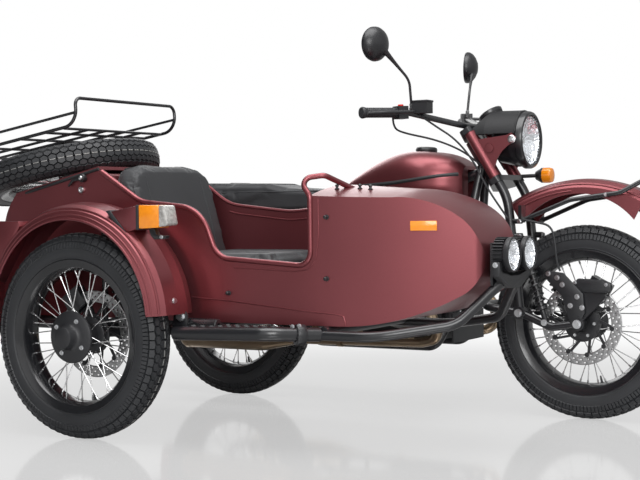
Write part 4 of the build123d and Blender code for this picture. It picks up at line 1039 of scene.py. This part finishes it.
rear_wedge = [(-92, 712), (-98, 729), (-290, 729), (-290, 612), (-226, 512)]
rear_lens = [(-318, 612), (-290, 612), (-290, 727), (-318, 727)]
# Columns: name, outline, thickness, bevel, y of the inner face, finish.
lamp_table = [
    ("front_lamp_wedge", wedge, 79, 2.0, -1106, red_paint),
    ("front_lamp_gasket", gasket, 84, 2.0, -1104, rubber),
    ("front_lamp_joint", joint, 67, 2.0, -1120, rubber),
    ("front_lamp_amber", amber_part, 60, 4, -1125, amber),
    ("front_lamp_clear", clear_part, 58, 4, -1126, marker),
    ("front_lamp_hanger", hanger, 22, 1.5, -1150, gloss_black),
    ("rear_lamp_wedge", rear_wedge, 70, 2.0, -1110, red_paint),
    ("rear_lamp_lens", rear_lens, 70, 4, -1110, ruby),
]
for name, outline, thick, bevel, y, coat in lamp_table:
    piece = panel(name, outline, thick, bevel, at(0, y, 0), "chassis", "fender_lamps", coat)
    if name == "front_lamp_wedge":
        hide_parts("fender_lamps")
    if name == "front_lamp_hanger":
        hanger_bolt = (at(506, -1173, 676), right, 4.5)
        bolts("front_lamp_bolt", "chassis", "fender_lamps", zinc, [hanger_bolt])

# Spot lamps: cast black bodies ringed with cooling fins, plated bowls behind clear glass, held
# in a black bracket on the nose of the frame.
dress(cast_black, "spot_lamps")
spot_height, fin_count, fin = 614, 30, Matrix.Diagonal((0.014, 0.0026, 0.034, 1))
spot_rings = [(30, -55), (44, -52), (46, -18), (52, -14), (54, -10), (54, 2), (51, 5), (49, 4)]
spot_rings += [(49, -2)]
spot_bowl = [(49, -2), (44, -14), (32, -24), (14, -30), (2, -31)]
spot_glass = [(49.5, 2), (40, 4.5), (20, 6), (2, 6.4)]
spot_parts = [("spot_body_", spot_rings, cast_black), ("spot_bowl_", spot_bowl, plated)]
spot_parts += [("spot_glass_", spot_glass, lamp_glass)]
for side, tag in ((-1, "right"), (1, "left")):
    spot = at(1550, tub_y + side * 64, spot_height)
    for name, rings, coat in spot_parts:
        piece = lathe(name + tag, rings, 56, spot, forward, "chassis", "spot_lamps", coat,
                      ends="open")
        if name + tag == "spot_body_right":
            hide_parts("spot_lamps")
    bpy.ops.mesh.primitive_cube_add(size=1)
    fins = [place @ fin for place in ring_of(fin_count, 47, -34)]
    fins = settle(repeat("spot_fins_" + tag, bpy.context.object, fins), spot, forward)
    done(fins, "chassis", "spot_lamps", cast_black)
half_yoke = [(40, -104), (128, -64), (128, -20), (112, -20), (100, -52), (30, -66)]
yoke = half_yoke + [(-u, v) for u, v in reversed(half_yoke)]
on_frame = "chassis", "sidecar_frame"
panel("spot_lamp_yoke", yoke, 26, 3.0, at(1505, tub_y, spot_height), *on_frame, cast_black, u=left)
bolts("spot_lamp_bolts", *on_frame, zinc,
      [(at(1518, tub_y + side * 129, 584), (0, side, 0), 6) for side in (-1, 1)])

# Step: a black steel board pressed in lozenges for grip, clamped to the frame's tube, and the
# welded lug and sleeve where the wheel arm's pivot bolt sits.
bpy.ops.mesh.primitive_cone_add(vertices=4, radius1=1, radius2=0.5, depth=1)
lozenges, lozenge, board_top = [], Matrix.Diagonal((0.010, 0.0036, 0.003, 1)), 388.6
for row in range(5):
    for column in range(17):
        slant = Matrix.Rotation(radians(45 if (row + column) % 2 else -45), 4, "Z")
        place = Matrix.Translation(at(560 + 17.5 * column, -1104 + 23 * row, board_top))
        lozenges.append(place @ slant @ lozenge)
done(repeat("step_lozenges", bpy.context.object, lozenges), *on_frame, cast_black)
lug = [(-34, -24), (30, -24), (26, 30), (8, 52), (-14, 48), (-30, 24)]
panel("pivot_lug", lug, 8, 2.0, at(505, -1068, 392), *on_frame, gloss_black)
bolts("pivot_bolts", *on_frame, zinc, [(at(507, -1076, 416), right, 12)])
sleeve = [(18, 0), (21, 2), (21, 118), (18, 121), (8, 122), (8, -1)]
lathe("pivot_sleeve", sleeve, 32, at(514, -1048, 388), forward, *on_frame, gloss_black,
      ends="bridge")
clamp = [(22.5, -15), (31, -15), (33, -12), (33, 12), (31, 15), (22.5, 15)]
lathe("step_clamp", clamp, 36, at(944, -1050, 369), (0.63, 0.77, -0.05), *on_frame, cast_black,
      ends="bridge")
bolts("step_clamp_bolts", *on_frame, zinc,
      [(at(930, -1070, 396), right, 5), (at(950, -1062, 398), right, 5)])

# Tail: a red moulded lamp lens, an amber signal lens and a blank white number plate, all
# fixed to the bracket behind the rear mudguard.
on_tail = "chassis", "tail_lamp"
tail_lens = [(37, 0), (37, 4), (30, 9), (2, 12)]
lathe("tail_lens", tail_lens, 36, at(-418, 0, 560), -forward, *on_tail, ruby)
rear_signal = [(26.5, -6), (26.5, 2), (20, 8), (2, 10)]
lathe("rear_signal_lens", rear_signal, 32, at(-388, 162, 520), -forward, *on_tail, amber)
plate_white = finish("plate_white", (0.72, 0.72, 0.70), (0.64, 0.64, 0.62), (0.35, 0.5), 300, 0.1)
panel("number_plate", oblong(88, 58), 2, 0.6, at(-424.2, 0, 455), *on_tail, plate_white, u=right)

# Engine trim: bolts round the front cover and rocker covers, spark plug caps and their leads,
# and clamp bands on the exhaust.
cylinder_x, cylinder_z = 800, 425
cover_turns = [tau * k / 8 for k in range(8)]
cover_bolts = [(at(1003, 74 * cos(a), 440 + 74 * sin(a)), forward, 5) for a in cover_turns]
for side in (-1, 1):
    facing = Vector((0, side, 0))
    for u, v in ((-46, 0), (46, 0), (0, 38), (0, -38)):
        cover_bolts.append((at(cylinder_x + u, side * 385, cylinder_z + v), facing, 5))
bolts("engine_bolts", "chassis", "engine", zinc, cover_bolts)
for side, tag in ((-1, "right"), (1, "left")):
    rocker_ribs = []
    for k in (-2, -1, 1, 2):
        rib = [at(cylinder_x + 13 * k, side * 386, cylinder_z + v) for v in (-37, 0, 37)]
        rocker_ribs.append(wire(f"rib_{tag}_{k}", rib, 3))
    done(merged("rocker_ribs_" + tag, rocker_ribs), "chassis", "cylinders", bare_cast)
    cap = [at(868, side * 322, 456), at(896, side * 322, 478), at(910, side * 310, 500)]
    done(wire("plug_cap_" + tag, cap, 9), "chassis", "cylinders", moulded_black)
    lead = [(910, side * 310, 500), (915, side * 240, 545), (880, side * 150, 570)]
    lead += [(840, side * 80, 560)]
    done(wire("plug_lead_" + tag, [at(*point) for point in lead], 4), "chassis", "intake", rubber)
    bands = []
    for x, radius in ((424, 23), (620, 22.5), (-70, 51.5)):
        band = [(radius - 4, -9), (radius, -9), (radius, 9), (radius - 4, 9)]
        band = turn(f"band_{tag}_{x}", band, 40, "bridge")
        bands.append(settle(band, at(x, side * 235, 264 if x > 0 else 262), forward))
    done(merged("exhaust_bands_" + tag, bands), "chassis", "exhaust", browned)
dress(rubber, "mud_flap")
